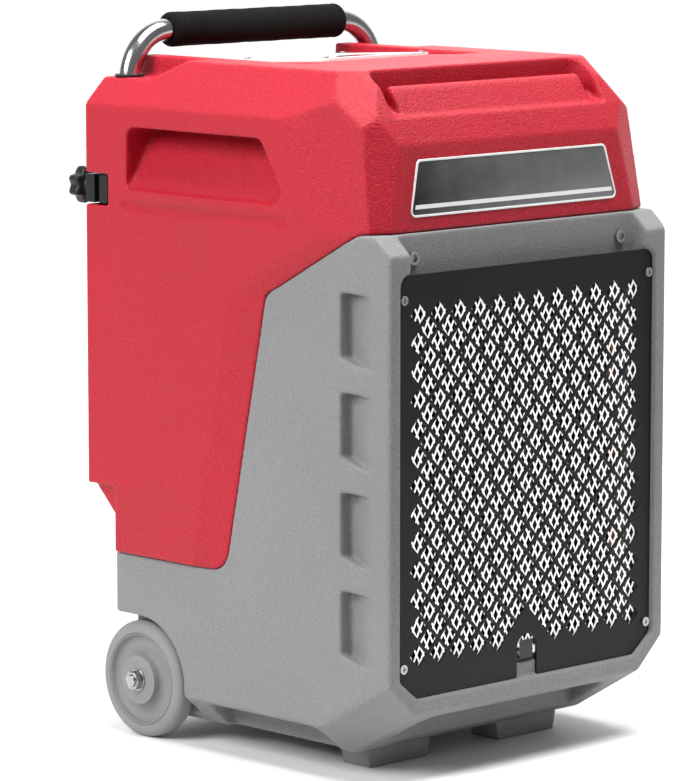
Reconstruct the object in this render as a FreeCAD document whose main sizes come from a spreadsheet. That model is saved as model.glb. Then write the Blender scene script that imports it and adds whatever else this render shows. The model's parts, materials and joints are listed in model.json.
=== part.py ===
"""A portable commercial dehumidifier, in millimetres.

+Z is up, the intake grille faces -Y, and the origin is on the floor below the middle of the machine.
Depths are given from the front face backwards and turned into Y by depth(); heights are above the floor.
Every size comes from the spreadsheet "Sizes": a Dim is a number that also carries its expression.
"""

import FreeCAD
import Part
import math
import os
import Sketcher
from FreeCAD import Placement, Rotation, Vector

DIMENSIONS = {
    # whole machine
    "overall_depth": 459.0,
    "wall": 5.0,
    # grey lower housing
    "tub_half_width": 195.0,
    "tub_front_half_width": 192.5,
    "tub_depth": 386.5,
    "tub_bottom": 20.0,
    "tub_floor_half_width": 157.7,
    "tub_side_edge": 55.0,
    "tub_front_edge": 69.3,
    "tub_front_corner": 102.0,
    "tub_floor_front": 84.0,
    "angled_strip_depth": 72.0,
    "pillar_top": 508.0,
    "pillar_setback": 20.0,
    "seam_top": 526.0,
    "seam_knee_depth": 167.0,
    "seam_knee_height": 459.5,
    "seam_heel_depth": 224.6,
    "seam_low": 184.0,
    "seam_slope_start": 43.0,
    # front opening
    "grille_half_width": 178.0,
    "grille_low": 84.0,
    "grille_top": 490.0,
    "grille_seat": 7.5,
    "grille_thickness": 2.5,
    "grille_clearance": 1.0,
    "notch_half_width": 14.0,
    "notch_top": 127.0,
    "hole_pitch": 27.1,
    "hole_top": 451.0,
    "hole_half_diagonal": 11.7,
    "screw_radius": 2.0,
    "grille_screw_half_width": 170.5,
    "grille_screw_high": 466.0,
    "grille_screw_low": 115.7,
    "housing_screw_half_width": 144.0,
    "housing_screw_height": 502.5,
    "pillar_inner": 164.0,
    "intake_half_width": 167.0,
    "intake_low": 100.0,
    "intake_top": 470.0,
    "intake_corner_half_width": 156.0,
    "intake_corner_low": 126.0,
    "intake_corner_high": 455.0,
    # wedge pockets in the sides of the lower housing
    "wedge_rear": 66.0,
    "wedge_front": 22.0,
    "wedge_depth": 15.0,
    "wedge_low": 124.5,
    "wedge_height": 61.5,
    "wedge_pitch": 94.8,
    # underside
    "side_arch_front": 100.0,
    "side_arch_rear": 258.0,
    "side_arch_height": 48.0,
    "side_arch_inner": 150.0,
    "front_arch_half_width": 130.0,
    "front_arch_height": 61.0,
    "front_arch_depth": 70.0,
    "foot_outer": 134.0,
    "foot_inner": 46.0,
    "foot_front": 90.0,
    "foot_rear": 128.0,
    # wheels
    "wheel_radius": 58.6,
    "wheel_width": 24.0,
    "wheel_depth": 350.0,
    "wheel_pocket_radius": 64.0,
    "wheel_pocket_inner": 166.0,
    "wheel_outer": 194.0,
    "hub_proud": 4.0,
    "hub_radius": 24.5,
    "rim_radius": 43.0,
    "rim_outer": 46.0,
    "axle_radius": 6.0,
    # red upper housing
    "shell_half_width": 200.0,
    "shell_depth": 421.0,
    "shell_low_depth": 381.0,
    "overhang_low": 250.0,
    "step_inset": 9.0,
    "nose_setback": 22.0,
    "nose_half_width": 168.6,
    "brow_setback": 29.4,
    "brow_height": 607.6,
    "brow_half_width": 150.8,
    "cheek_setback": 32.0,
    "cheek_half_width": 193.0,
    "lip_setback": 41.0,
    "lip_height": 632.0,
    "crown_setback": 58.0,
    "crown_height": 660.0,
    "plateau_setback": 80.0,
    "plateau_height": 676.0,
    "shoulder_height": 629.0,
    "plateau_half_width": 170.4,
    "shelf_height": 656.0,
    "shelf_ramp_top": 303.0,
    "shelf_ramp_foot": 343.0,
    "ear_inner": 124.0,
    "ear_outer": 145.0,
    "ear_rear": 400.0,
    "deck_front": 183.0,
    "deck_rear_height": 664.0,
    # handle
    "tube_radius": 11.0,
    "tube_wall": 1.5,
    "handle_half_width": 168.0,
    "handle_depth": 390.0,
    "handle_height": 700.0,
    "handle_bend": 48.0,
    "handle_leg_low": 264.0,
    "foam_radius": 17.5,
    "foam_half_length": 118.0,
    "sleeve_radius": 13.15,
    # clamps
    "clamp_low": 531.5,
    "clamp_height": 28.0,
    "clamp_width": 46.0,
    "clamp_centre": 175.0,
    "knob_radius": 19.0,
    "stud_radius": 4.0,
    # controls
    "control_screw_x": 66.0,
    "control_plate_thickness": 3.0,
    "key_length": 14.0,
    "key_width": 10.0,
    "key_gap": 0.3,
    "key_row": 130.0,
    # fan, fin packs and compressor
    "fan_height": 320.0,
    "fan_radius": 128.0,
    "fan_hub_radius": 38.0,
    "fan_depth": 150.0,
    "blade_thickness": 2.0,
    "fin_thickness": 0.5,
    "pipe_radius": 4.76,
    "thin_pipe_radius": 4.0,
    "coil_half_width": 138.0,
    "coil_low": 112.0,
    "coil_height": 356.0,
    "compressor_x": 72.0,
    "compressor_depth": 310.0,
    "compressor_radius": 58.0,
    "compressor_foot": 50.0,
    "tray_height": 76.0,
    # condensate pump and drain
    "pump_x": -95.0,
    "pan_spout_height": 92.0,
    "drain_height": 165.0,
    # rear outlet
    "outlet_height": 430.0,
    "outlet_radius": 105.0,
}

HOLE_ROWS = 25
HOLE_COLUMNS = 12
FIN_COUNT = 36
COIL_ROWS = 8
BLADE_COUNT = 5

doc = FreeCAD.newDocument("Dehumidifier")
sheet = doc.addObject("Spreadsheet::Sheet", "Sizes")
nodes = {}


class Dim(float):
    """A length that remembers the spreadsheet expression it came from."""

    def __new__(cls, number, text):
        made = float.__new__(cls, number)
        made.text = text
        return made

    def __add__(self, other):
        return Dim(float(self) + float(other), "(%s + %s)" % (self.text, text_of(other)))

    def __radd__(self, other):
        return Dim(float(other) + float(self), "(%s + %s)" % (text_of(other), self.text))

    def __sub__(self, other):
        return Dim(float(self) - float(other), "(%s - %s)" % (self.text, text_of(other)))

    def __rsub__(self, other):
        return Dim(float(other) - float(self), "(%s - %s)" % (text_of(other), self.text))

    def __mul__(self, other):
        return Dim(float(self) * float(other), "(%s * %s)" % (self.text, text_of(other)))

    def __rmul__(self, other):
        return Dim(float(other) * float(self), "(%s * %s)" % (text_of(other), self.text))

    def __truediv__(self, other):
        return Dim(float(self) / float(other), "(%s / %s)" % (self.text, text_of(other)))

    def __neg__(self):
        return Dim(-float(self), "(-1 * %s)" % self.text)


def text_of(number):
    """The expression of a Dim, or a plain number's digits."""
    return number.text if isinstance(number, Dim) else "%.6g" % number


class Sizes:
    """The spreadsheet's cells as attributes."""


def fill_sheet():
    """Write every driving dimension to the sheet and give it an alias."""
    for row, (alias, number) in enumerate(DIMENSIONS.items(), start=1):
        sheet.set("A%d" % row, alias)
        sheet.set("B%d" % row, str(number))
        sheet.setAlias("B%d" % row, alias)
        setattr(Sizes, alias, Dim(number, "Sizes." + alias))
    doc.recompute()


fill_sheet()
S = Sizes


def depth(distance):
    """Y of a point that lies this far behind the front face."""
    return distance - S.overall_depth / 2


def bind(thing, prop, value):
    """Set a property and, for a Dim, tie it to the sheet."""
    if isinstance(value, Dim):
        thing.setExpression(prop, value.text)
    else:
        setattr(thing, prop, value)


def place(thing, x=0.0, y=0.0, z=0.0, rotation=None):
    """Put an object at a point, tied to the sheet where the point is."""
    thing.Placement = Placement(Vector(x, y, z), rotation or Rotation())
    for axis, value in zip("xyz", (x, y, z)):
        if isinstance(value, Dim):
            thing.setExpression("Placement.Base." + axis, value.text)
    return thing


# ---------------------------------------------------------------- sketches and solids

PLANES = {
    "XY": Rotation(),
    "XZ": Rotation(Vector(1, 0, 0), Vector(0, 0, 1), Vector(0, -1, 0), "ZXY"),
    "YZ": Rotation(Vector(0, 1, 0), Vector(0, 0, 1), Vector(1, 0, 0), "ZXY"),
}
NORMALS = {"XY": Vector(0, 0, 1), "XZ": Vector(0, 1, 0), "YZ": Vector(1, 0, 0)}


def pin(sketch, index, point, x, y):
    """Constrain one point of a sketch to its coordinates, bound to the sheet."""
    for kind, value, axis in (("DistanceX", x, -2), ("DistanceY", y, -1)):
        if abs(value) < 1e-9:
            sketch.addConstraint(Sketcher.Constraint("PointOnObject", index, point, axis))
            continue
        number = sketch.addConstraint(Sketcher.Constraint(kind, -1, 1, index, point, float(value)))
        if isinstance(value, Dim):
            sketch.setExpression("Constraints[%d]" % number, value.text)


def draw_polygon(sketch, points):
    """Add a closed polygon whose corners are pinned."""
    first = sketch.GeometryCount
    count = len(points)
    for number in range(count):
        start = Vector(points[number][0], points[number][1], 0)
        end = Vector(points[(number + 1) % count][0], points[(number + 1) % count][1], 0)
        sketch.addGeometry(Part.LineSegment(start, end))
    for number in range(count):
        following = first + (number + 1) % count
        sketch.addConstraint(Sketcher.Constraint("Coincident", first + number, 2, following, 1))
    for number, (x, y) in enumerate(points):
        pin(sketch, first + number, 1, x, y)


def outline(name, plane, points):
    """A free sketch of one polygon on a main plane."""
    sketch = doc.addObject("Sketcher::SketchObject", name + "_outline")
    sketch.Placement = Placement(Vector(), PLANES[plane])
    draw_polygon(sketch, points)
    return sketch


def prism(name, plane, points, near, far):
    """Extrude an outline along its plane's normal, from one position to another."""
    body = doc.addObject("Part::Extrusion", name)
    body.Base = outline(name, plane, points)
    body.DirMode = "Custom"
    body.Dir = NORMALS[plane]
    body.Solid = True
    bind(body, "LengthFwd", far)
    bind(body, "LengthRev", near * -1.0)
    return body


def box(name, low, high):
    """A box from its lowest corner to its highest."""
    made = doc.addObject("Part::Box", name)
    for prop, start, end in zip(("Length", "Width", "Height"), low, high):
        bind(made, prop, end - start)
    return place(made, *low)


def cylinder(name, axis, centre, radius, length):
    """A cylinder that starts at a point and runs along +X, +Y or +Z."""
    made = doc.addObject("Part::Cylinder", name)
    bind(made, "Radius", radius)
    bind(made, "Height", length)
    turn = {"X": Rotation(Vector(0, 1, 0), 90), "Y": Rotation(Vector(1, 0, 0), -90), "Z": Rotation()}[axis]
    return place(made, *centre, rotation=turn)


def cut(name, base, *tools):
    """The base without its tools."""
    made = doc.addObject("Part::Cut", name)
    made.Base = base
    made.Tool = tools[0] if len(tools) == 1 else fuse(name + "_tools", *tools)
    return made


def fuse(name, *shapes):
    """Several shapes as one."""
    made = doc.addObject("Part::MultiFuse", name)
    made.Shapes = list(shapes)
    made.Refine = True
    return made


def common(name, *shapes):
    """What all the shapes share."""
    made = doc.addObject("Part::MultiCommon", name)
    made.Shapes = list(shapes)
    return made


def group(name, *shapes):
    """Separate solids kept in one node."""
    made = doc.addObject("Part::Compound", name)
    made.Links = list(shapes)
    return made


def mirrored(name, source):
    """The same shape on the other side of the middle plane."""
    made = doc.addObject("Part::Mirroring", name)
    made.Source = source
    made.Normal = Vector(1, 0, 0)
    return made


def both_sides(name, source):
    """A shape and its mirror image, as tools."""
    return [source, mirrored(name, source)]


def beyond(name, first, second, third, reach=500.0):
    """A thick slab whose inner face passes through three points and that lies outside the machine."""
    a, b, c = Vector(*first), Vector(*second), Vector(*third)
    inside = Vector(0, 0, S.seam_knee_height)
    normal = (b - a).cross(c - a)
    normal.normalize()
    if normal.dot(a - inside) < 0:
        normal = normal * -1.0
    along = b - a
    along.normalize()
    across = normal.cross(along)
    middle = (a + b + c) * (1.0 / 3.0)
    corners = [middle + along * (i * reach) + across * (j * reach) for i, j in
               ((-1, -1), (1, -1), (1, 1), (-1, 1), (-1, -1))]
    slab = doc.addObject("Part::Feature", name)
    slab.Shape = Part.Face(Part.makePolygon(corners)).extrude(normal * reach)
    slab.Placement = Placement()
    return slab


def edges_near(shape, points, along=None):
    """Numbers of the straight edges that pass through any of the points, seen along an axis."""
    found = []
    for number, edge in enumerate(shape.Edges, start=1):
        if not isinstance(edge.Curve, Part.Line):
            continue
        start, end = edge.Vertexes[0].Point, edge.Vertexes[-1].Point
        direction = (end - start).normalize()
        if along is not None and abs(direction.dot(along)) < 0.999:
            continue
        for point in points:
            offset = Vector(*point) - start
            if along is not None:
                offset = offset - along * offset.dot(along)
            travel = offset.dot(direction)
            within = along is not None or -0.1 < travel < (end - start).Length + 0.1
            if within and offset.cross(direction).Length < 0.05:
                found.append(number)
                break
    return found


def rounded(name, base, radius, points=None, along=None, chooser=None):
    """Fillet chosen edges: through points, or those a test picks."""
    doc.recompute()
    made = doc.addObject("Part::Fillet", name)
    made.Base = base
    if chooser is None:
        numbers = edges_near(base.Shape, points, along)
    else:
        numbers = [n for n, edge in enumerate(base.Shape.Edges, start=1) if chooser(edge)]
    made.Edges = [(n, float(radius), float(radius)) for n in numbers]
    return made


def node(name, source):
    """Name a finished sub-part; its label becomes its file name."""
    source.Label = name
    nodes[name] = source
    return source


# ---------------------------------------------------------------- PartDesign helpers

def upright_sketch(owner):
    """A sketch on the body's XZ plane."""
    sketch = owner.newObject("Sketcher::SketchObject", "Sketch")
    origin_plane = [f for f in owner.Origin.OriginFeatures if f.Role == "XZ_Plane"][0]
    sketch.AttachmentSupport = [(origin_plane, "")]
    sketch.MapMode = "FlatFace"
    return sketch


def turned(name, points):
    """A body turned round its own Z axis from a profile of (radius, height)."""
    made = doc.addObject("PartDesign::Body", name)
    sketch = upright_sketch(made)
    draw_polygon(sketch, points)
    solid = made.newObject("PartDesign::Revolution", "Turned")
    solid.Profile = sketch
    solid.ReferenceAxis = (sketch, ["V_Axis"])
    solid.Angle = 360
    return made


# ---------------------------------------------------------------- lower housing

def seam_line():
    """The seam between the two housings, from the front backwards, as (y, z)."""
    return [
        (depth(S.seam_slope_start), S.seam_top),
        (depth(S.seam_knee_depth), S.seam_knee_height),
        (depth(S.seam_heel_depth), S.seam_low),
    ]


def tub_outer():
    """The grey tub's outside: side outline, plan and chamfered underside in one block."""
    side = prism("tub_side", "YZ", [
        (depth(0.0), S.tub_front_edge),
        (depth(0.0), S.pillar_top),
        (depth(S.pillar_setback), S.seam_top),
        *seam_line(),
        (depth(S.tub_depth), S.seam_low),
        (depth(S.tub_depth), S.tub_bottom),
        (depth(S.tub_floor_front), S.tub_bottom),
    ], S.tub_half_width * -1.1, S.tub_half_width * 1.1)
    along = Vector(1, 0, 0)
    slope, knee, heel = [(0.0, *point) for point in seam_line()]
    soft = rounded("tub_side_soft", side, 24.0, [slope, heel], along)
    soft = rounded("tub_side_softer", soft, 15.0, [knee], along)
    plan = prism("tub_plan", "XY", symmetric([
        (S.tub_front_half_width, depth(0.0)),
        (S.tub_half_width, depth(S.angled_strip_depth)),
        (S.tub_half_width, depth(S.tub_depth)),
    ]), 0.0, S.seam_top + 10.0)
    front = prism("tub_front_view", "XZ", symmetric([
        (S.tub_floor_half_width, S.tub_bottom),
        (S.tub_half_width + 5.0, S.tub_side_edge),
        (S.tub_half_width + 5.0, S.seam_top + 10.0),
    ]), depth(-10.0), depth(S.tub_depth + 10.0))
    block = common("tub_block", soft, plan, front)
    corner = beyond(
        "tub_corner",
        (-S.tub_front_half_width, depth(0.0), S.tub_front_corner),
        (-S.tub_floor_half_width, depth(0.0), S.tub_front_edge),
        (-S.tub_floor_half_width, depth(S.tub_floor_front), S.tub_bottom),
    )
    trimmed = cut("tub_trimmed", block, *both_sides("tub_corner_other", corner))
    return trimmed


def symmetric(points):
    """Points on the +X side, followed by their mirror images in reverse order."""
    return points + [(-x, other) for x, other in reversed(points)]


def tub_soft():
    """The tub's outside with its moulded edges rounded."""
    block = tub_outer()

    def is_outer_edge(edge):
        if not isinstance(edge.Curve, Part.Line) or edge.Length < 12.0:
            return False
        middle = edge.CenterOfMass
        upright = abs(edge.tangentAt(edge.FirstParameter).z) > 0.99
        front = middle.y < depth(1.0)
        low = middle.z < S.tub_front_corner
        rear = middle.y > depth(S.tub_depth - 1.0)
        if upright:
            return front or rear
        return front and (low or middle.z > S.pillar_top - 2.0) or (low and not rear)

    return rounded("tub_block_soft", block, 4.0, chooser=is_outer_edge)


def wedge_pocket(level):
    """One of the wedge-shaped pockets in the left side, numbered from the bottom."""
    low = S.wedge_low + level * S.wedge_pitch
    high = low + S.wedge_height
    side = prism("wedge_side_%d" % level, "YZ", [
        (depth(S.wedge_rear), low),
        (depth(S.wedge_rear), high),
        (depth(S.wedge_front), high - 2.0),
        (depth(S.wedge_front), low - 12.0),
    ], S.tub_half_width * -1.1, S.tub_half_width * -0.9)
    plan = prism("wedge_plan_%d" % level, "XY", [
        (-S.tub_front_half_width - 10.0, depth(S.wedge_front - 12.0)),
        (-S.tub_front_half_width - 0.6, depth(S.wedge_front)),
        (-S.tub_half_width + S.wedge_depth, depth(S.wedge_rear - 7.0)),
        (-S.tub_half_width + S.wedge_depth, depth(S.wedge_rear - 3.0)),
        (-S.tub_half_width - 10.0, depth(S.wedge_rear)),
    ], 0.0, S.seam_top)
    return common("wedge_%d" % level, side, plan)


def tub_cavity():
    """The space inside the tub, clear of everything that is pressed in from outside."""
    side = prism("tub_cavity_side", "YZ", [
        (depth(25.0), 62.0),
        (depth(25.0), 620.0),
        (depth(S.tub_depth - S.wall), 620.0),
        (depth(S.tub_depth - S.wall), S.tub_bottom + S.wall),
        (depth(S.tub_floor_front + 8.0), S.tub_bottom + S.wall),
    ], -S.tub_half_width, S.tub_half_width)
    plan = prism("tub_cavity_plan", "XY", symmetric([
        (S.tub_half_width - S.wedge_depth - S.wall - 4.0, depth(20.0)),
        (S.tub_half_width - S.wedge_depth - S.wall - 4.0, depth(S.wedge_rear + 6.0)),
        (S.tub_half_width - S.wall, depth(S.wedge_rear + 16.0)),
        (S.tub_half_width - S.wall, depth(S.tub_depth)),
    ]), 0.0, 620.0)
    front = prism("tub_cavity_front", "XZ", symmetric([
        (S.tub_floor_half_width - 3.0, S.tub_bottom + S.wall),
        (S.tub_half_width - S.wall, S.tub_side_edge + 4.0),
        (S.tub_half_width - S.wall, 620.0),
    ]), depth(0.0), depth(S.tub_depth + 10.0))
    space = common("tub_space", side, plan, front)
    corner_inset = S.wall * 1.8
    keep_corner = beyond(
        "tub_keep_corner",
        (-S.tub_front_half_width + corner_inset, depth(0.0), S.tub_front_corner),
        (-S.tub_floor_half_width + corner_inset, depth(0.0), S.tub_front_edge),
        (-S.tub_floor_half_width + corner_inset, depth(S.tub_floor_front), S.tub_bottom),
    )
    keep_arch = box("tub_keep_arch", (S.side_arch_inner - S.wall, depth(S.side_arch_front - 6.0), 0.0),
                    (S.tub_half_width, depth(S.side_arch_rear + 6.0), S.side_arch_height + S.wall))
    keep_wheel = box("tub_keep_wheel",
                     (S.wheel_pocket_inner - S.wall, depth(S.wheel_depth - S.wheel_pocket_radius - 6.0), 0.0),
                     (S.tub_half_width, depth(S.tub_depth), S.wheel_radius + S.wheel_pocket_radius + 7.0))
    keep_front = box("tub_keep_front", (-S.front_arch_half_width - 6.0, depth(0.0), 0.0),
                     (S.front_arch_half_width + 6.0, depth(S.front_arch_depth + 6.0),
                      S.front_arch_height + S.wall))
    keeps = both_sides("tub_keep_arch_other", keep_arch)
    keeps += both_sides("tub_keep_wheel_other", keep_wheel)
    keeps += both_sides("tub_keep_corner_other", keep_corner)
    return cut("tub_hollow", space, keep_front, *keeps)


def wheel_pocket():
    """The open arch round the left wheel."""
    axis = (-S.tub_half_width - 10.0, depth(S.wheel_depth), S.wheel_radius)
    width = S.tub_half_width + 10.0 - S.wheel_pocket_inner
    arch = cylinder("wheel_arch", "X", axis, S.wheel_pocket_radius, width)
    below = box("wheel_arch_below",
                (-S.tub_half_width - 10.0, depth(S.wheel_depth - S.wheel_pocket_radius), -10.0),
                (-S.wheel_pocket_inner, depth(S.tub_depth + 20.0), S.wheel_radius))
    behind = box("wheel_arch_behind", (-S.tub_half_width - 10.0, depth(S.wheel_depth), -10.0),
                 (-S.wheel_pocket_inner, depth(S.tub_depth + 20.0), S.wheel_radius + S.wheel_pocket_radius))
    return fuse("wheel_pocket", arch, below, behind)


def grille_outline(clearance):
    """The grille's outline with its cut lower corners, shrunk by a clearance, as (x, z)."""
    half = S.grille_half_width - clearance
    return symmetric([
        (half - 25.5, S.grille_low + clearance),
        (half, S.grille_low + 20.5 + clearance),
        (half, S.grille_top - clearance),
    ])


def intake_outline(clearance):
    """The air intake's outline, cut to pass the grille screws, shrunk by a clearance, as (x, z)."""
    return symmetric([
        (S.intake_corner_half_width - clearance, S.intake_low + clearance),
        (S.intake_half_width - clearance, S.intake_corner_low + clearance / 2),
        (S.intake_half_width - clearance, S.intake_corner_high - clearance / 2),
        (S.intake_corner_half_width - clearance, S.intake_top - clearance),
    ])


def make_lower_housing():
    """The grey lower housing: a rotomoulded tub with the grille frame, pockets, arches and wheel wells."""
    seat = prism("grille_seat", "XZ", grille_outline(0.0), depth(-5.0), depth(S.grille_seat))
    soft_seat = rounded("grille_seat_soft", seat, 12.0, chooser=lambda edge: (
        abs(edge.tangentAt(edge.FirstParameter).y) > 0.99 and edge.CenterOfMass.z > S.grille_top - 1.0))
    recess = prism("front_recess", "XZ", symmetric([
        (S.pillar_inner, S.grille_top - 14.0),
        (S.pillar_inner, S.seam_top + 10.0),
    ]), depth(-5.0), depth(S.pillar_setback))
    intake = prism("intake_hole", "XZ", intake_outline(0.0), depth(-5.0), depth(30.0))
    wedges = []
    for level in range(4):
        wedges += both_sides("wedge_other_%d" % level, wedge_pocket(level))
    arch = box("side_arch", (-S.tub_half_width - 10.0, depth(S.side_arch_front), -5.0),
               (-S.side_arch_inner, depth(S.side_arch_rear), S.side_arch_height))
    arch_soft = rounded("side_arch_soft", arch, 10.0, chooser=lambda edge: (
        abs(edge.tangentAt(edge.FirstParameter).x) > 0.99 and edge.CenterOfMass.z > 0.0))
    front_arch = box("front_arch", (-S.front_arch_half_width, depth(-10.0), -5.0),
                     (S.front_arch_half_width, depth(S.front_arch_depth), S.front_arch_height))
    front_soft = rounded("front_arch_soft", front_arch, 14.0, chooser=lambda edge: (
        abs(edge.tangentAt(edge.FirstParameter).y) > 0.99 and edge.CenterOfMass.z > 0.0))
    axle_hole = cylinder("axle_hole", "X", (-S.tub_half_width - 10.0, depth(S.wheel_depth), S.wheel_radius),
                         S.axle_radius + 0.05, S.tub_half_width * 2 + 20.0)
    drain_hole = cylinder("drain_hole", "Y", (S.pump_x, depth(S.tub_depth - 20.0), S.drain_height), 9.2, 40.0)
    tools = [soft_seat, recess, intake, front_soft, axle_hole, drain_hole, tub_cavity(), *wedges]
    for number, (x, z) in enumerate(grille_screw_places()):
        tools.append(cylinder("grille_screw_bore_%d" % number, "Y", (x, depth(5.0), z),
                              S.screw_radius + 0.05, 16.0))
    for number, side in enumerate((-1, 1)):
        tools.append(cylinder("housing_screw_bore_%d" % number, "Y", (
            side * S.housing_screw_half_width, depth(S.pillar_setback - 5.0), S.housing_screw_height),
            S.screw_radius + 1.05, 15.0))
    tools += both_sides("side_arch_other", arch_soft)
    tools += both_sides("wheel_pocket_other", wheel_pocket())
    node("lower_housing", cut("lower_housing_cut", tub_soft(), *tools))


# ---------------------------------------------------------------- upper housing

def shell_outer():
    """The red shell's outside: side outline, front outline and slanted facets."""
    side = prism("shell_side", "YZ", [
        (depth(S.nose_setback), S.seam_top),
        (depth(S.brow_setback), S.brow_height),
        (depth(S.lip_setback), S.lip_height),
        (depth(S.crown_setback), S.crown_height),
        (depth(S.plateau_setback), S.plateau_height),
        (depth(S.ear_rear), S.plateau_height),
        (depth(S.ear_rear), S.shelf_height),
        (depth(S.shell_depth - 10.0), S.shelf_height),
        (depth(S.shell_depth), S.shelf_height - 24.0),
        (depth(S.shell_depth), S.overhang_low),
        (depth(S.shell_low_depth + 2.0), S.overhang_low - 38.0),
        (depth(S.shell_low_depth), S.overhang_low - 38.0),
        (depth(S.shell_low_depth), S.seam_low),
        *reversed(seam_line()),
    ], S.shell_half_width * -1.1, S.shell_half_width * 1.1)
    along = Vector(1, 0, 0)
    slope, knee, heel = [(0.0, *point) for point in seam_line()]
    soft = rounded("shell_side_soft", side, 24.0, [slope, heel], along)
    soft = rounded("shell_side_softer", soft, 15.0, [knee], along)
    front = prism("shell_front_view", "XZ", symmetric([
        (S.shell_half_width, S.seam_low - 10.0),
        (S.shell_half_width, S.shoulder_height),
        (S.plateau_half_width, S.plateau_height),
    ]), depth(-10.0), depth(S.shell_depth + 10.0))
    block = common("shell_block", soft, front)
    nose_corner = beyond(
        "nose_corner",
        (-S.nose_half_width, depth(S.nose_setback), S.seam_top - 1.0),
        (-S.cheek_half_width, depth(S.cheek_setback), S.seam_top - 1.0),
        (-S.brow_half_width, depth(S.brow_setback), S.brow_height),
    )
    cheek = beyond(
        "cheek",
        (-S.shell_half_width, depth(140.0), S.shoulder_height),
        (-S.shell_half_width, depth(88.5), S.seam_top - 2.5),
        (-S.cheek_half_width + 2.7, depth(S.cheek_setback), S.seam_top - 1.0),
    )
    crown_corner = beyond(
        "crown_corner",
        (-S.plateau_half_width + 15.0, depth(S.plateau_setback), S.plateau_height),
        (-S.plateau_half_width - 15.4, depth(S.plateau_setback), S.plateau_height - 24.5),
        (-S.plateau_half_width, depth(S.plateau_setback + 15.0), S.plateau_height),
    )
    tools = []
    for name, slab in (("nose", nose_corner), ("cheek", cheek), ("crown", crown_corner)):
        tools += both_sides(name + "_other", slab)
    return cut("shell_trimmed", block, *tools)


def seam_band():
    """The shallow chamfer that brings the red side down to the seam, as a cutting tool on the left."""
    start, knee, heel = seam_line()
    inner, outer = -S.tub_half_width, -S.shell_half_width
    outer_start = (depth(88.5), S.seam_top - 0.5)
    outer_knee = (depth(212.0), 455.0)
    outer_heel = (depth(266.0), S.seam_low)
    over_knee = (inner, *knee)
    upper = common(
        "band_upper",
        prism("band_upper_side", "YZ", [start, outer_start, outer_knee, knee, (depth(60.0), 470.0)],
              S.shell_half_width * -1.1, inner),
        beyond("band_upper_slab", (inner, *start), over_knee, (outer, *outer_knee)),
    )
    lower = common(
        "band_lower",
        prism("band_lower_side", "YZ", [knee, outer_knee, outer_heel, (outer_heel[0], S.seam_low - 20.0),
                                        (heel[0], S.seam_low - 20.0), (depth(120.0), 300.0)],
              S.shell_half_width * -1.1, inner),
        beyond("band_lower_slab", over_knee, (inner, *heel), (outer, *outer_knee)),
    )
    return fuse("seam_band", upper, lower)


def hand_pocket(grow, name):
    """The sloping hand-hold in the left side, enlarged by a wall for the inside of the shell."""
    side = prism(name + "_side", "YZ", [
        (depth(359.5 + grow), 609.0 + grow),
        (depth(170.0 - grow * 0.6), 609.0 + grow),
        (depth(139.0 - grow), 560.0 - grow * 0.4),
        (depth(150.0 - grow), 547.5 - grow),
        (depth(361.0 + grow), 547.5 - grow),
    ], S.shell_half_width * -1.1, S.shell_half_width * -0.5)
    soft = rounded(name + "_soft", side, 9.0, chooser=lambda edge: (
        abs(edge.tangentAt(edge.FirstParameter).x) > 0.99))
    floor = prism(name + "_floor", "XZ", [
        (S.shell_half_width * -1.1, 547.5 - grow),
        (-S.shell_half_width + 3.0 + grow * 0.5, 547.5 - grow),
        (-S.shell_half_width + 40.0 + grow, 606.0),
        (-S.shell_half_width + 40.0 + grow, 625.0 + grow),
        (S.shell_half_width * -1.1, 625.0 + grow),
    ], depth(100.0), depth(380.0))
    return common(name, soft, floor)


def front_grip(name):
    """The recess behind the top front lip, with a rounded bar left standing in it."""
    lip_y, back_y = depth(S.lip_setback), depth(S.plateau_setback + 3.0)
    top = S.plateau_height + 14.0
    over_bar = prism(name + "_over_bar", "YZ", [
        (lip_y - 11.0, S.lip_height + 2.0),
        (lip_y + 0.5, S.lip_height + 1.5),
        (lip_y + 5.0, S.lip_height + 1.5),
        (lip_y + 19.0, S.crown_height - 3.5),
        (lip_y + 23.0, S.crown_height + 0.6),
        (lip_y + 28.0, S.crown_height + 0.6),
        (lip_y + 32.0, S.crown_height - 5.0),
        (lip_y + 33.5, S.crown_height - 18.0),
        (back_y, S.crown_height - 18.0),
        (back_y, top),
        (lip_y - 11.0, top),
    ], -146.0, 146.0)
    soft_bar = rounded(name + "_over_bar_soft", over_bar, 3.0, along=Vector(1, 0, 0), points=[
        (0, lip_y + 19.0, S.crown_height - 3.5), (0, lip_y + 23.0, S.crown_height + 0.6),
        (0, lip_y + 28.0, S.crown_height + 0.6), (0, lip_y + 32.0, S.crown_height - 5.0)])
    moat = prism(name + "_moat", "YZ", [
        (lip_y - 11.0, S.lip_height + 2.0),
        (lip_y + 8.0, S.lip_height + 1.5),
        (lip_y + 24.0, S.crown_height - 18.0),
        (back_y, S.crown_height - 18.0),
        (back_y, top),
        (lip_y - 11.0, top),
    ], 131.0, 146.0)
    whole = fuse(name + "_whole", soft_bar, *both_sides(name + "_moat_other", moat))
    corners = box(name + "_corners", (-146.0, lip_y - 11.0, S.lip_height),
                  (146.0, back_y, top))
    soft_corners = rounded(name + "_corners_soft", corners, 14.0, chooser=lambda edge: (
        abs(edge.tangentAt(edge.FirstParameter).z) > 0.99 and edge.CenterOfMass.y > lip_y))
    return common(name, whole, soft_corners)


def rear_shelf():
    """What is cut away above the shelf round the left handle leg, with its ramp."""
    return prism("rear_shelf", "YZ", [
        (depth(S.shelf_ramp_top), S.plateau_height),
        (depth(S.shelf_ramp_foot), S.shelf_height),
        (depth(S.shell_depth + 5.0), S.shelf_height),
        (depth(S.shell_depth + 5.0), S.plateau_height + 20.0),
        (depth(S.shelf_ramp_top), S.plateau_height + 20.0),
    ], S.shell_half_width * -1.1, -S.ear_outer)


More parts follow.
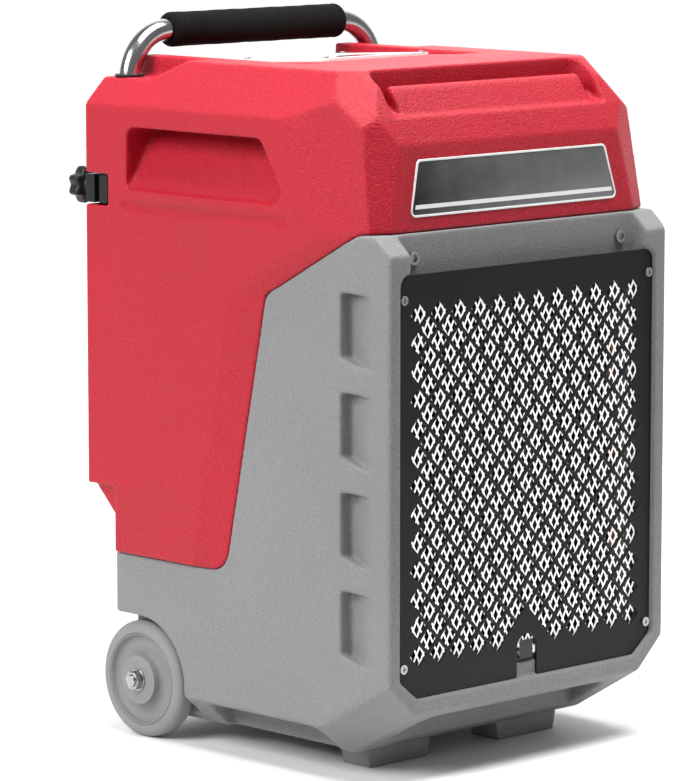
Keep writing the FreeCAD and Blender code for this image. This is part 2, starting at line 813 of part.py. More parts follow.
def deck_cut():
    """What is cut away above the sloping deck between the ears."""
    return prism("deck_cut", "YZ", [
        (depth(S.deck_front), S.plateau_height),
        (depth(S.ear_rear + 5.0), S.deck_rear_height),
        (depth(S.ear_rear + 5.0), S.plateau_height + 20.0),
        (depth(S.deck_front), S.plateau_height + 20.0),
    ], -S.ear_inner, S.ear_inner)


def deck_channel():
    """The shallow channel beside the left ear."""
    return prism("deck_channel", "YZ", [
        (depth(S.deck_front + 7.0), S.plateau_height - 9.0),
        (depth(S.ear_rear - 10.0), S.deck_rear_height - 9.0),
        (depth(S.ear_rear - 10.0), S.plateau_height + 20.0),
        (depth(S.deck_front + 7.0), S.plateau_height + 20.0),
    ], -S.ear_inner + 2.0, -92.0)


def shell_cavity():
    """The space inside the upper shell."""
    inset = S.wall
    side = prism("shell_cavity_side", "YZ", [
        (depth(S.nose_setback + inset), 150.0),
        (depth(S.nose_setback + inset), S.seam_top),
        (depth(S.brow_setback + inset), S.brow_height),
        (depth(S.lip_setback + 9.0), 624.0),
        (depth(S.plateau_setback + 10.0), 632.0),
        (depth(S.plateau_setback + 14.0), 642.0),
        (depth(S.shell_depth - 13.0), 642.0),
        (depth(S.shell_depth - inset), 630.0),
        (depth(S.shell_depth - inset), S.overhang_low + 3.0),
        (depth(S.shell_low_depth - inset), S.overhang_low - 36.0),
        (depth(S.shell_low_depth - inset), 150.0),
    ], -S.shell_half_width, S.shell_half_width)
    front = prism("shell_cavity_front", "XZ", symmetric([
        (S.shell_half_width - inset, 150.0),
        (S.shell_half_width - inset, 626.0),
        (S.plateau_half_width + 14.0, 642.0),
    ]), depth(0.0), depth(S.shell_depth))
    plan = prism("shell_cavity_plan", "XY", symmetric([
        (136.0, depth(S.nose_setback)),
        (156.0, depth(S.lip_setback)),
        (174.0, depth(60.0)),
        (186.0, depth(110.0)),
        (S.shell_half_width - inset - 5.0, depth(170.0)),
        (S.shell_half_width - inset - 5.0, depth(290.0)),
        (S.shell_half_width - inset, depth(300.0)),
        (S.shell_half_width - inset, depth(S.shell_depth)),
    ]), 150.0, 650.0)
    space = common("shell_space", side, front, plan)
    keep = hand_pocket(S.wall, "hand_pocket_wall")
    keep_step = box("step_wall",
                    (-S.shell_half_width, depth(S.shell_low_depth - S.wall), S.overhang_low - 50.0),
                    (-S.shell_half_width + S.step_inset + S.wall, depth(S.shell_depth),
                     S.overhang_low + S.wall))
    return cut("shell_hollow", space, *both_sides("hand_pocket_wall_other", keep),
               *both_sides("step_wall_other", keep_step))


def clamp_notch():
    """The rectangular cut-out in the left rear corner that the clamp sits in."""
    return box("clamp_notch", (-S.shell_half_width - 10.0, depth(388.0), S.clamp_low - 1.5),
               (-S.clamp_centre + S.clamp_width / 2 + 1.0, depth(S.shell_depth + 10.0),
                S.clamp_low + S.clamp_height + 1.5))


def make_upper_housing():
    """The red upper housing: shell with hand-holds, front grip, deck, ears, shelf and rear outlet."""
    trimmed = shell_outer()

    def is_soft_edge(edge):
        if not isinstance(edge.Curve, Part.Line) or edge.Length < 14.0:
            return False
        middle = edge.CenterOfMass
        if middle.z < S.overhang_low + 20.0 or middle.y > depth(S.ear_rear - 3.0):
            return False
        start, end = edge.Vertexes[0].Point, edge.Vertexes[-1].Point
        on_seam = min(start.z, end.z) < S.seam_top + 1.0
        across = abs(edge.tangentAt(edge.FirstParameter).x) > 0.99
        on_brow = S.brow_height < middle.z < S.lip_height and middle.y < depth(S.lip_setback)
        return not on_seam and (across or not on_brow)

    soft = rounded("shell_soft", trimmed, 5.0, chooser=is_soft_edge)
    groove = box("side_groove", (-S.shell_half_width - 5.0, depth(131.0), 526.5),
                 (-S.shell_half_width + 2.5, depth(369.0), 537.0))
    groove_soft = rounded("side_groove_soft", groove, 5.0, chooser=lambda edge: (
        abs(edge.tangentAt(edge.FirstParameter).x) > 0.99))
    tube_hole = cylinder("tube_hole", "Z", (-S.handle_half_width, depth(S.handle_depth), 600.0), 13.2, 80.0)
    step = prism("cheek_step", "YZ", [
        (depth(S.shell_low_depth), S.overhang_low),
        (depth(S.shell_depth + 5.0), S.overhang_low),
        (depth(S.shell_depth + 5.0), S.overhang_low - 50.0),
        (depth(S.shell_low_depth), S.overhang_low - 50.0),
    ], S.shell_half_width * -1.1, -S.shell_half_width + S.step_inset)
    outlet = cylinder("outlet_hole", "Y", (0.0, depth(S.shell_depth - 20.0), S.outlet_height),
                      S.outlet_radius, 40.0)
    inlet_hole = cylinder("inlet_hole", "Y", (-110.0, depth(S.shell_depth - 20.0), 290.0), 12.2, 40.0)
    tools = [deck_cut(), front_grip("front_grip"), outlet, inlet_hole, shell_cavity(), deck_openings()]
    for name, tool in (("band", seam_band()), ("pocket", hand_pocket(0.0, "hand_pocket")),
                       ("groove", groove_soft), ("shelf", rear_shelf()), ("channel", deck_channel()),
                       ("notch", clamp_notch()), ("tube_hole", tube_hole), ("step", step)):
        tools += both_sides(name + "_other_side", tool)
    node("upper_housing", cut("upper_housing_cut", soft, *tools))


# ---------------------------------------------------------------- wires, tubes and leaning parts

def bend(before, corner, after, radius):
    """The start, middle and end of the arc that rounds one corner of a path."""
    to_before, to_after = before - corner, after - corner
    room = min(to_before.Length, to_after.Length) / 2
    to_before.normalize()
    to_after.normalize()
    half = to_before.getAngle(to_after) / 2
    reach = min(radius / math.tan(half), room)
    bisector = (to_before + to_after).normalize()
    middle = corner + bisector * (reach / math.cos(half) - reach * math.tan(half))
    return corner + to_before * reach, middle, corner + to_after * reach


def rounded_wire(points, radii, closed=False):
    """A wire through points, its corners rounded by one radius or by one radius each."""
    corners = [Vector(*point) for point in points]
    count = len(corners)
    arcs = []
    for number, corner in enumerate(corners):
        if not closed and number in (0, count - 1):
            arcs.append((corner, None, corner))
            continue
        radius = radii[number] if isinstance(radii, list) else radii
        arcs.append(bend(corners[number - 1], corner, corners[(number + 1) % count], radius))
    edges = []
    for number, (start, middle, end) in enumerate(arcs):
        if middle is not None:
            edges.append(Part.Arc(start, middle, end).toShape())
        if number == count - 1 and not closed:
            break
        following = arcs[(number + 1) % count][0]
        if end.distanceToPoint(following) > 1e-6:
            edges.append(Part.makeLine(end, following))
    return Part.Wire(edges)


def feature(name, shape):
    """A shape that has no parametric feature of its own."""
    made = doc.addObject("Part::Feature", name)
    made.Shape = shape
    return made


def tube(name, points, bend_radius, radius, bore=0.0):
    """A round bar or tube that follows a bent path."""
    path = rounded_wire(points, float(bend_radius))
    first = path.OrderedEdges[0]
    start, direction = first.valueAt(first.FirstParameter), first.tangentAt(first.FirstParameter)

    def swept(size):
        ring = Part.Wire(Part.makeCircle(float(size), start, direction))
        return path.makePipeShell([ring], True, True)

    shape = swept(radius)
    return feature(name, shape.cut(swept(bore)) if bore else shape)


def flat(name, outer, holes, thickness):
    """A flat plate from wires, extruded along +Y by a thickness from the sheet."""
    face = feature(name + "_face", Part.makeFace([outer, *holes], "Part::FaceMakerBullseye"))
    plate = doc.addObject("Part::Extrusion", name)
    plate.Base = face
    plate.DirMode = "Custom"
    plate.Dir = Vector(0, 1, 0)
    plate.Solid = True
    bind(plate, "LengthFwd", thickness)
    return plate


def ring(name, axis, centre, outer, inner, length):
    """A hollow cylinder."""
    return cut(name, cylinder(name + "_outer", axis, centre, outer, length),
               cylinder(name + "_inner", axis, centre, inner, length))


def hexagon(centre_x, centre_y, across_flats):
    """Corners of a hexagon."""
    radius = across_flats / math.sqrt(3.0)
    corners = []
    for number in range(6):
        angle = math.radians(60.0 * number)
        corners.append((centre_x + radius * math.cos(angle), centre_y + radius * math.sin(angle)))
    return corners


def left_and_right(name, source):
    """Two sub-parts: the left one and its mirror image."""
    node(name + "_left", source)
    node(name + "_right", mirrored(name + "_mirrored", source))


def both(name, source):
    """One sub-part made of a solid on the left and its mirror image."""
    return node(name, group(name + "_pair", source, mirrored(name + "_mirrored", source)))


# ---------------------------------------------------------------- front: grille, filter, screws, nameplate

def screw(name, centre, head_radius, head_height, shank_radius, length, drive):
    """A screw driven in along +Y: its head's face is at the centre point."""
    x, y, z = centre
    solid = fuse(
        name + "_solid",
        cylinder(name + "_head", "Y", centre, head_radius, head_height),
        cylinder(name + "_shank", "Y", (x, y + head_height, z), shank_radius, length),
    )
    reach = head_height * 0.6
    if drive == "hex":
        tools = [prism(name + "_socket", "XZ", hexagon(x, z, head_radius * 1.1), y - 1.0, y + reach)]
    else:
        long, short = head_radius * 0.62, head_radius * 0.14
        tools = [
            box(name + "_slot", (x - long, y - 1.0, z - short), (x + long, y + reach, z + short)),
            box(name + "_cross_slot", (x - short, y - 1.0, z - long), (x + short, y + reach, z + long)),
        ]
    return cut(name, solid, *tools)


def grille_hole_centres():
    """Centres of the grille's square holes, as (x, z): staggered rows, open in the middle at the bottom."""
    centres = []
    for row in range(HOLE_ROWS):
        count = HOLE_COLUMNS - row % 2
        height = S.hole_top - row * S.hole_pitch / 2
        clear = {HOLE_ROWS - 2: 0.3, HOLE_ROWS - 1: 0.8}.get(row, -1.0) * S.hole_pitch
        for column in range(count):
            x = (column - (count - 1) / 2) * S.hole_pitch
            if abs(x) > clear:
                centres.append((float(x), float(height)))
    return centres


def make_front_grille():
    """The black steel grille: a flat plate with staggered square holes and a finger notch."""
    y = float(depth(S.grille_seat - S.grille_thickness))
    right = [(x, z) for x, z in grille_outline(S.grille_clearance)]
    notch = S.notch_half_width
    low = S.grille_low + S.grille_clearance
    corners = right + [(-notch, low), (-notch, S.notch_top), (notch, S.notch_top), (notch, low)]
    radii = [3.0, 3.0, 11.0, 11.0, 3.0, 3.0, 1.0, float(notch), float(notch), 1.0]
    outer = rounded_wire([(x, y, z) for x, z in corners], radii, closed=True)
    reach = float(S.hole_half_diagonal)
    holes = [rounded_wire([(x + reach, y, z), (x, y, z + reach), (x - reach, y, z), (x, y, z - reach)], 1.2,
                          closed=True) for x, z in grille_hole_centres()]
    for x, z in grille_screw_places():
        holes.append(Part.Wire(Part.makeCircle(S.screw_radius + 0.2, Vector(x, y, z), Vector(0, 1, 0))))
    node("front_grille", flat("grille_plate", outer, holes, S.grille_thickness))
    head_radius, head_height, shank_length = 4.6, 2.0, 15.0
    head_face = depth(S.grille_seat - S.grille_thickness - head_height)
    heads = [screw("grille_screw_%d" % n, (x, head_face, z), head_radius, head_height, S.screw_radius,
                   shank_length, "cross") for n, (x, z) in enumerate(grille_screw_places())]
    node("grille_screws", group("grille_screws_all", *heads))


def grille_screw_places():
    """The four corners where the grille is screwed on, as (x, z)."""
    return [(side * S.grille_screw_half_width, z) for side in (-1, 1)
            for z in (S.grille_screw_high, S.grille_screw_low)]


def make_housing_screws():
    """The two socket-head screws in the recessed wall above the grille."""
    head_radius, head_height, shank_length = 6.5, 3.5, 11.0
    heads = []
    for number, side in enumerate((-1, 1)):
        centre = (side * S.housing_screw_half_width, depth(S.pillar_setback - head_height),
                  S.housing_screw_height)
        heads.append(screw("housing_screw_%d" % number, centre, head_radius, head_height,
                           S.screw_radius + 1.0, shank_length, "hex"))
    node("housing_screws", group("housing_screws_all", *heads))


def make_filter():
    """The air filter: a frame with a pull tab, and the wire screen that lies in its rebate."""
    front, shelf, rear = S.grille_seat + 1.0, S.grille_seat + 4.5, S.grille_seat + 14.5
    outside = prism("filter_outside", "XZ", intake_outline(1.0), depth(front), depth(rear))
    opening = prism("filter_opening", "XZ", intake_outline(5.0), depth(front - 2.0), depth(rear + 2.0))
    rebate = prism("filter_rebate", "XZ", intake_outline(3.0), depth(shelf), depth(rear + 2.0))
    tab_half = S.notch_half_width - 5.0
    tab = box("filter_tab", (-tab_half, depth(S.grille_seat - 1.5), S.intake_low + 3.0),
              (tab_half, depth(front), S.notch_top - 6.0))
    node("filter_frame", cut("filter_frame_cut", fuse("filter_solid", outside, tab), opening, rebate))
    node("filter_screen", prism("filter_screen_plate", "XZ", intake_outline(3.2), depth(shelf),
                                depth(shelf + 1.0)))


def nose_angle():
    """How far the red nose leans back, in degrees."""
    return math.degrees(math.atan2(S.brow_setback - S.nose_setback, S.brow_height - S.seam_top))


def make_nameplate():
    """The blank metal plate on the nose, with cut corners."""
    plate = prism("nameplate_plate", "XZ", symmetric([(145.5, 14.1), (132.0, 68.3)]), -1.2, -0.02)
    soft = rounded("nameplate_soft", plate, 6.0, chooser=lambda edge: (
        abs(edge.tangentAt(edge.FirstParameter).y) > 0.99))
    node("nameplate", place(group("nameplate_laid", soft), 0.0, depth(S.nose_setback), S.seam_top,
                            Rotation(Vector(1, 0, 0), -nose_angle())))


# ---------------------------------------------------------------- handle and clamps

def make_handle():
    """The bent chrome tube, its foam grip and the sleeves that guide it."""
    x, y = float(S.handle_half_width), float(depth(S.handle_depth))
    low, high = S.handle_leg_low, S.handle_height
    path = [(-x, y, low), (-x, y, high), (x, y, high), (x, y, low)]
    node("handle_tube", tube("handle_bent_tube", path, S.handle_bend, S.tube_radius,
                             S.tube_radius - S.tube_wall))
    foam = cylinder("foam_bar", "X", (-S.foam_half_length, depth(S.handle_depth), high), S.foam_radius,
                    S.foam_half_length * 2)
    foam_soft = rounded("foam_soft", foam, 5.0, chooser=lambda edge: isinstance(edge.Curve, Part.Circle))
    bore = cylinder("foam_bore", "X", (-S.foam_half_length - 5.0, depth(S.handle_depth), S.handle_height),
                    S.tube_radius + 0.05, S.foam_half_length * 2 + 10.0)
    node("foam_grip", cut("foam_grip_cut", foam_soft, bore))
    centre = (-S.handle_half_width, depth(S.handle_depth))
    slide = S.tube_radius + 0.06
    body, flange, mouth = S.sleeve_radius, S.sleeve_radius + 1.4, S.tube_radius + 1.1
    sleeve = turned("sleeve", [(slide, 0.0), (body, 0.0), (body, 26.0), (flange, 26.0), (flange, 28.5),
                               (mouth, 28.5), (slide, 16.0)])
    place(sleeve, *centre, S.shelf_height - 26.0)
    block = box("guide_block_solid", (-S.shell_half_width + S.wall, depth(376.0), 290.0),
                (-152.0, depth(S.shell_depth - S.wall), 310.0))
    guide_bore = cylinder("guide_bore", "Z", (*centre, 280.0), slide, 40.0)
    both("handle_guides", group("handle_guides_left", sleeve, cut("guide_block", block, guide_bore)))


def knob_outline(y):
    """The star knob's outline: lobes round the screw."""
    lobes = 7
    points = []
    for number in range(lobes * 2):
        angle = math.pi * number / lobes
        radius = float(S.knob_radius) + (1.5 if number % 2 == 0 else -4.5)
        points.append((radius * math.cos(angle), y, radius * math.sin(angle)))
    return rounded_wire(points, 4.0, closed=True)


def make_clamps():
    """The two clamps: a fixed nut block, a jaw that grips the tube, and a star knob on a stud."""
    low_x, high_x = -S.clamp_centre - S.clamp_width / 2, -S.clamp_centre + S.clamp_width / 2
    low, high = S.clamp_low, S.clamp_low + S.clamp_height
    middle = (-S.clamp_centre, S.clamp_low + S.clamp_height / 2)
    block = fuse("nut_block_solid",
                 box("nut_block_body", (low_x, depth(410.0), low), (high_x, depth(423.0), high)),
                 box("nut_block_tongue", (high_x, depth(411.0), low + 3.0),
                     (high_x + 22.0, depth(S.shell_depth - S.wall), high - 3.0)))
    block_hole = cylinder("nut_block_hole", "Y", (middle[0], depth(405.0), middle[1]),
                          S.stud_radius + 0.05, 25.0)
    both("clamp_nut_blocks", cut("nut_block", block, block_hole))
    jaw = box("jaw_body", (low_x, depth(390.5), low), (high_x, depth(403.0), high))
    seat = cylinder("jaw_seat", "Z", (-S.handle_half_width, depth(S.handle_depth), low - 5.0),
                    S.tube_radius + 0.3, S.clamp_height + 10.0)
    left_and_right("clamp_jaw", cut("jaw", jaw, seat))
    stud = cylinder("stud", "Y", (middle[0], depth(403.1), middle[1]), S.stud_radius, 49.9)
    star_near = float(depth(443.0))
    star = flat("star", knob_outline(star_near), [], S.overall_depth - 443.0)
    star.Base.Placement = Placement(Vector(middle[0], 0.0, middle[1]), Rotation())
    neck = cylinder("knob_neck", "Y", (middle[0], depth(424.0), middle[1]), 8.0, 19.0)
    left_and_right("clamp_knob", fuse("knob", star, neck, stud))


# ---------------------------------------------------------------- wheels and feet

def make_wheels():
    """The wheels: rubber tyres on plastic hubs, on one axle with spacers, washers and nuts."""
    radius, width = S.wheel_radius, S.wheel_width
    proud = -S.hub_proud
    tyre = turned("tyre", [(S.rim_outer + 0.05, 0.0), (radius - 6.0, 0.0), (radius - 1.8, 1.8), (radius, 6.0),
                           (radius, width - 6.0), (radius - 1.8, width - 1.8), (radius - 6.0, width),
                           (S.rim_outer + 0.05, width)])
    bore = S.axle_radius + 0.05
    hub = turned("hub", [(bore, proud), (S.hub_radius, proud), (S.hub_radius, 5.0), (S.rim_radius, 5.0),
                         (S.rim_radius, 0.0), (S.rim_outer, 0.0), (S.rim_outer, width), (S.rim_radius, width),
                         (S.rim_radius, width - 5.0), (S.hub_radius, width - 5.0), (S.hub_radius, width),
                         (bore, width)])
    sideways = Rotation(Vector(0, 1, 0), 90)
    for name, thing in (("wheel_tyre", tyre), ("wheel_hub", hub)):
        place(thing, -S.wheel_outer, depth(S.wheel_depth), S.wheel_radius, sideways)
        left_and_right(name, thing)

    def on_axle(x):
        return (x, depth(S.wheel_depth), S.wheel_radius)

    outer = S.wheel_outer + S.hub_proud
    half = outer + 10.5
    node("wheel_axle", cylinder("axle_bar", "X", on_axle(-half), S.axle_radius, half * 2))
    spacer = ring("spacer", "X", on_axle(-S.wheel_outer + width + 0.2), 10.0, bore,
                  S.wheel_outer - width - S.wheel_pocket_inner - 0.2)
    washer = ring("washer", "X", on_axle(-outer - 1.8), 11.0, bore, 1.6)
    nut = prism("nut_solid", "YZ", hexagon(depth(S.wheel_depth), S.wheel_radius, 17.0), -outer - 8.0,
                -outer - 1.8)
    nut_hole = cylinder("nut_hole", "X", on_axle(-outer - 10.0), bore, 10.0)
    both("axle_fasteners", group("axle_fasteners_left", spacer, washer, cut("nut", nut, nut_hole)))


def make_feet():
    """The two moulded skids under the front."""
    outer, inner, taper = -S.foot_outer, -S.foot_inner, 4.0
    foot = prism("foot", "XZ", [(outer, S.tub_bottom), (inner, S.tub_bottom), (inner - taper, 0.0),
                                (outer + taper, 0.0)], depth(S.foot_front), depth(S.foot_rear))
    both("front_feet", foot)


# ---------------------------------------------------------------- controls on the deck

def deck_angle():
    """The slope of the deck, in degrees."""
    rise = S.plateau_height - S.deck_rear_height
    return math.degrees(math.atan2(rise, S.ear_rear + 5.0 - S.deck_front))


def on_deck(thing):
    """Lay a part made round the origin onto the deck: x across, y down the slope, z square to it."""
    return place(group(thing.Name + "_laid", thing), 0.0, depth(S.deck_front), S.plateau_height,
                 Rotation(Vector(1, 0, 0), -deck_angle()))


def control_screw_places():
    """The control plate's corner screws, as (x, y) on the deck."""
    return [(x, y) for x in (-S.control_screw_x, S.control_screw_x) for y in (33.0, 145.0)]


def deck_openings():
    """What is cut through the deck under the control plate: the control opening and four screw holes."""
    opening = box("control_opening", (-60.0, 38.0, -48.0), (60.0, 140.0, 6.0))
    holes = [cylinder("control_screw_bore_%d" % n, "Z", (x, y, -12.0), 1.55, 16.0)
             for n, (x, y) in enumerate(control_screw_places())]
    return on_deck(group("deck_openings", opening, *holes))


def make_controls():
    """The control plate with its display, four keys and circuit board."""
    thick = S.control_plate_thickness
    plate = box("control_plate_body", (-72.0, 26.0, 0.02), (72.0, 151.0, thick))
    soft = rounded("control_plate_soft", plate, 6.0, chooser=lambda edge: (
        abs(edge.tangentAt(edge.FirstParameter).z) > 0.99))
    post_places = [(x, y) for x in (-50.0, 50.0) for y in (44.0, 134.0)]
    posts = [cylinder("control_post_%d" % n, "Z", (x, y, -18.4), 3.0, 19.0)
             for n, (x, y) in enumerate(post_places)]
    tools = [box("display_window", (-40.0, 45.0, -1.0), (40.0, 95.0, 5.0))]
    keys = (("power", -30.0), ("mode", -10.0), ("up", 10.0), ("down", 33.0))
    half_x, half_y, gap = S.key_length / 2, S.key_width / 2, S.key_gap
    for name, x in keys:
        tools.append(box(name + "_key_hole", (x - half_x - gap, S.key_row - half_y - gap, -1.0),
                         (x + half_x + gap, S.key_row + half_y + gap, 5.0)))
        cap = fuse(name + "_key",
                   box(name + "_key_cap", (x - half_x, S.key_row - half_y, -1.5),
                       (x + half_x, S.key_row + half_y, thick + 1.4)),
                   box(name + "_key_rim", (x - half_x - 1.2, S.key_row - half_y - 1.2, -1.8),
                       (x + half_x + 1.2, S.key_row + half_y + 1.2, -0.1)),
                   cylinder(name + "_key_stem", "Z", (x, S.key_row, -16.4), 2.5, 15.0))
        node("button_" + name, on_deck(cap))
    for number, (x, y) in enumerate(control_screw_places()):
        tools.append(cylinder("control_plate_hole_%d" % number, "Z", (x, y, -1.0), 1.6, 6.0))
    with_posts = fuse("control_plate_solid", soft, *posts)
    node("control_plate", on_deck(cut("control_plate_cut", with_posts, *tools)))
    node("display_lens", on_deck(box("lens", (-39.95, 45.05, 0.6), (39.95, 94.95, thick - 0.3))))
    module = box("display_module", (-42.0, 46.5, -9.0), (42.0, 97.0, -0.1))
    pins = box("display_pins", (-38.0, 50.0, -18.5), (38.0, 53.0, -9.0))
    board = box("board", (-57.0, 40.5, -20.0), (57.0, 138.0, -18.4))
    chips = [box("chip_%d" % n, (x, y, -23.0), (x + 12.0, y + 12.0, -20.0))
             for n, (x, y) in enumerate(((-40.0, 60.0), (-5.0, 60.0), (25.0, 75.0)))]
    node("control_board", on_deck(fuse("control_board_solid", board, module, pins, *chips)))
    screws = []
    for number, (x, y) in enumerate(control_screw_places()):
        head = cylinder("control_screw_head_%d" % number, "Z", (x, y, thick), 3.2, 1.6)
        shank = cylinder("control_screw_shank_%d" % number, "Z", (x, y, -10.0), 1.5, 13.0)
        solid = fuse("control_screw_solid_%d" % number, head, shank)
        near, far, long, short = thick + 0.8, thick + 3.0, 2.0, 0.4
        slot = box("control_screw_slot_%d" % number, (x - long, y - short, near), (x + long, y + short, far))
        cross = box("control_screw_cross_%d" % number, (x - short, y - long, near),
                    (x + short, y + long, far))
        screws.append(cut("control_screw_%d" % number, solid, slot, cross))
    node("control_screws", on_deck(group("control_screws_all", *screws)))


# ---------------------------------------------------------------- cooling circuit

def coil_levels():
    """Heights of the tube rows in both fin packs."""
    pitch = S.coil_height / COIL_ROWS
    return [S.coil_low + pitch * (row + 0.5) for row in range(COIL_ROWS)]


def make_fin_pack(name, front, rear, columns):
    """A pack of thin upright plates, pierced by the tube rows."""
    first = prism(name + "_fin", "YZ", [
        (depth(front), S.coil_low), (depth(rear), S.coil_low),
        (depth(rear), S.coil_low + S.coil_height), (depth(front), S.coil_low + S.coil_height),
    ], -S.coil_half_width, -S.coil_half_width + S.fin_thickness)
    holes = []
    for column in columns:
        for row, level in enumerate(coil_levels()):
            holes.append(cylinder("%s_hole_%d_%d" % (name, column, row), "X",
                                  (-S.coil_half_width - 2.0, depth(column), level),
                                  S.pipe_radius + 0.06, 5.0))
    pierced = cut(name + "_pierced_fin", first, *holes)
    doc.recompute()
    count = FIN_COUNT
    step = (S.coil_half_width * 2 - S.fin_thickness) / (count - 1)
    copies = [pierced.Shape.translated(Vector(step * number, 0, 0)) for number in range(count)]
    node(name, feature(name + "_all", Part.Compound(copies)))


def serpentine(columns, first_column_upwards):
    """Corners of a tube that winds through one column of rows and back through the other."""
    turn = S.coil_half_width + 26.0
    end = S.coil_half_width + 12.0
    levels = [float(level) for level in coil_levels()]
    if not first_column_upwards:
        levels.reverse()
    points = [(end, depth(columns[0]), levels[0])]
    side = -turn
    order = [(columns[0], level) for level in levels] + [(columns[1], level) for level in reversed(levels)]
    for number, (column, level) in enumerate(order[:-1]):
        points.append((side, depth(column), level))
        points.append((side, depth(order[number + 1][0]), order[number + 1][1]))
        side = -side
    points.append((end, depth(columns[1]), levels[0]))
    return points


def make_cooling_circuit():
    """Both coils, the compressor and everything that joins them."""
    pipe = S.pipe_radius
    front_coil, rear_coil = (44.0, 64.0), (90.0, 110.0)
    make_fin_pack("evaporator_fins", 34.0, 74.0, front_coil)
    make_fin_pack("condenser_fins", 80.0, 120.0, rear_coil)
    turn = S.coil_height / COIL_ROWS / 2
    node("evaporator_tube", tube("evaporator_bent", serpentine(front_coil, True), turn, pipe, pipe - 0.8))
    node("condenser_tube", tube("condenser_bent", serpentine(tuple(reversed(rear_coil)), False), turn, pipe,
                                pipe - 0.8))
    low, top = float(coil_levels()[0]), float(coil_levels()[-1])
    end = S.coil_half_width + 12.2
    x, d = S.compressor_x, S.compressor_depth
    under = low - 20.25
    suction = [(end, depth(64.0), low), (163.0, depth(64.0), low), (163.0, depth(64.0), under),
               (163.0, depth(240.0), under), (163.0, depth(240.0), 300.0), (155.0, depth(d), 300.0),
               (155.0, depth(d), 270.2)]
    discharge = [(x + 20.0, depth(d), 328.3), (x + 20.0, depth(d), 351.0), (176.0, depth(d), 351.0),
                 (176.0, depth(110.0), 351.0), (176.0, depth(110.0), top), (end, depth(110.0), top)]
    liquid = [(end, depth(90.0), top), (179.0, depth(90.0), top), (179.0, depth(90.0), 335.2)]
    drier = turned("drier", [(0.0, 0.0), (3.0, 0.0), (8.0, 12.0), (8.0, 73.0), (4.0, 85.0), (0.0, 85.0)])
    node("filter_drier", place(drier, 179.0, depth(90.0), 250.0))
    capillary = [(179.0, depth(90.0), 249.8), (179.0, depth(90.0), 158.0), (168.0, depth(70.0), 158.0),
                 (168.0, depth(44.0), 158.0), (168.0, depth(44.0), low), (end, depth(44.0), low)]
    node("capillary_tube", tube("capillary_bent", capillary, 8.0, 1.5))
    accumulator = turned("accumulator_can", [(0.0, 0.0), (12.0, 0.0), (22.0, 12.0), (22.0, 92.0),
                                             (12.0, 104.0), (0.0, 104.0)])
    node("accumulator", place(accumulator, 155.0, depth(d), 166.0))
    stub = [(155.0, depth(d), 165.8), (155.0, depth(d), 145.0),
            (x + S.compressor_radius + 0.3, depth(d), 145.0)]
    pipes = [tube("suction_pipe", suction, 10.0, pipe), tube("accumulator_pipe", stub, 10.0, pipe),
             tube("discharge_pipe", discharge, 10.0, S.thin_pipe_radius),
             tube("liquid_pipe", liquid, 10.0, S.thin_pipe_radius)]
    node("refrigerant_pipes", group("refrigerant_pipes_all", *pipes))


def make_compressor():
    """The hermetic compressor on its base plate, rubber grommets and bolts."""
    radius = S.compressor_radius
    can = turned("compressor_can", [(0.0, 0.0), (radius - 14.0, 0.0), (radius, 12.0), (radius, 204.0),
                                    (radius - 8.0, 224.0), (radius - 22.0, 238.0), (0.0, 238.0)])
    node("compressor", place(can, S.compressor_x, depth(S.compressor_depth), 90.2))
    x, y = S.compressor_x, depth(S.compressor_depth)
    reach = S.compressor_foot
    margin = reach + 10.0
    plate = box("compressor_plate", (x - margin, y - margin, 86.0), (x + margin, y + margin, 90.0))
    corners = [(x + i * reach, y + j * reach) for i in (-1, 1) for j in (-1, 1)]
    holes = [cylinder("compressor_hole_%d" % n, "Z", (a, b, 84.0), 3.3, 8.0)
             for n, (a, b) in enumerate(corners)]
    node("compressor_base", cut("compressor_base_cut", plate, *holes))
    grommets = [ring("grommet_%d" % n, "Z", (a, b, S.tray_height + 2.0), 9.0, 3.3, 8.0)
                for n, (a, b) in enumerate(corners)]
    node("compressor_grommets", group("grommets", *grommets))
    bolts = [fuse("compressor_bolt_%d" % n, cylinder("bolt_head_%d" % n, "Z", (a, b, 90.0), 6.0, 4.0),
                  cylinder("bolt_shank_%d" % n, "Z", (a, b, S.tray_height + 2.3), 3.0, 12.0))
             for n, (a, b) in enumerate(corners)]
    node("compressor_bolts", group("compressor_bolts_all", *bolts))


# ---------------------------------------------------------------- fan

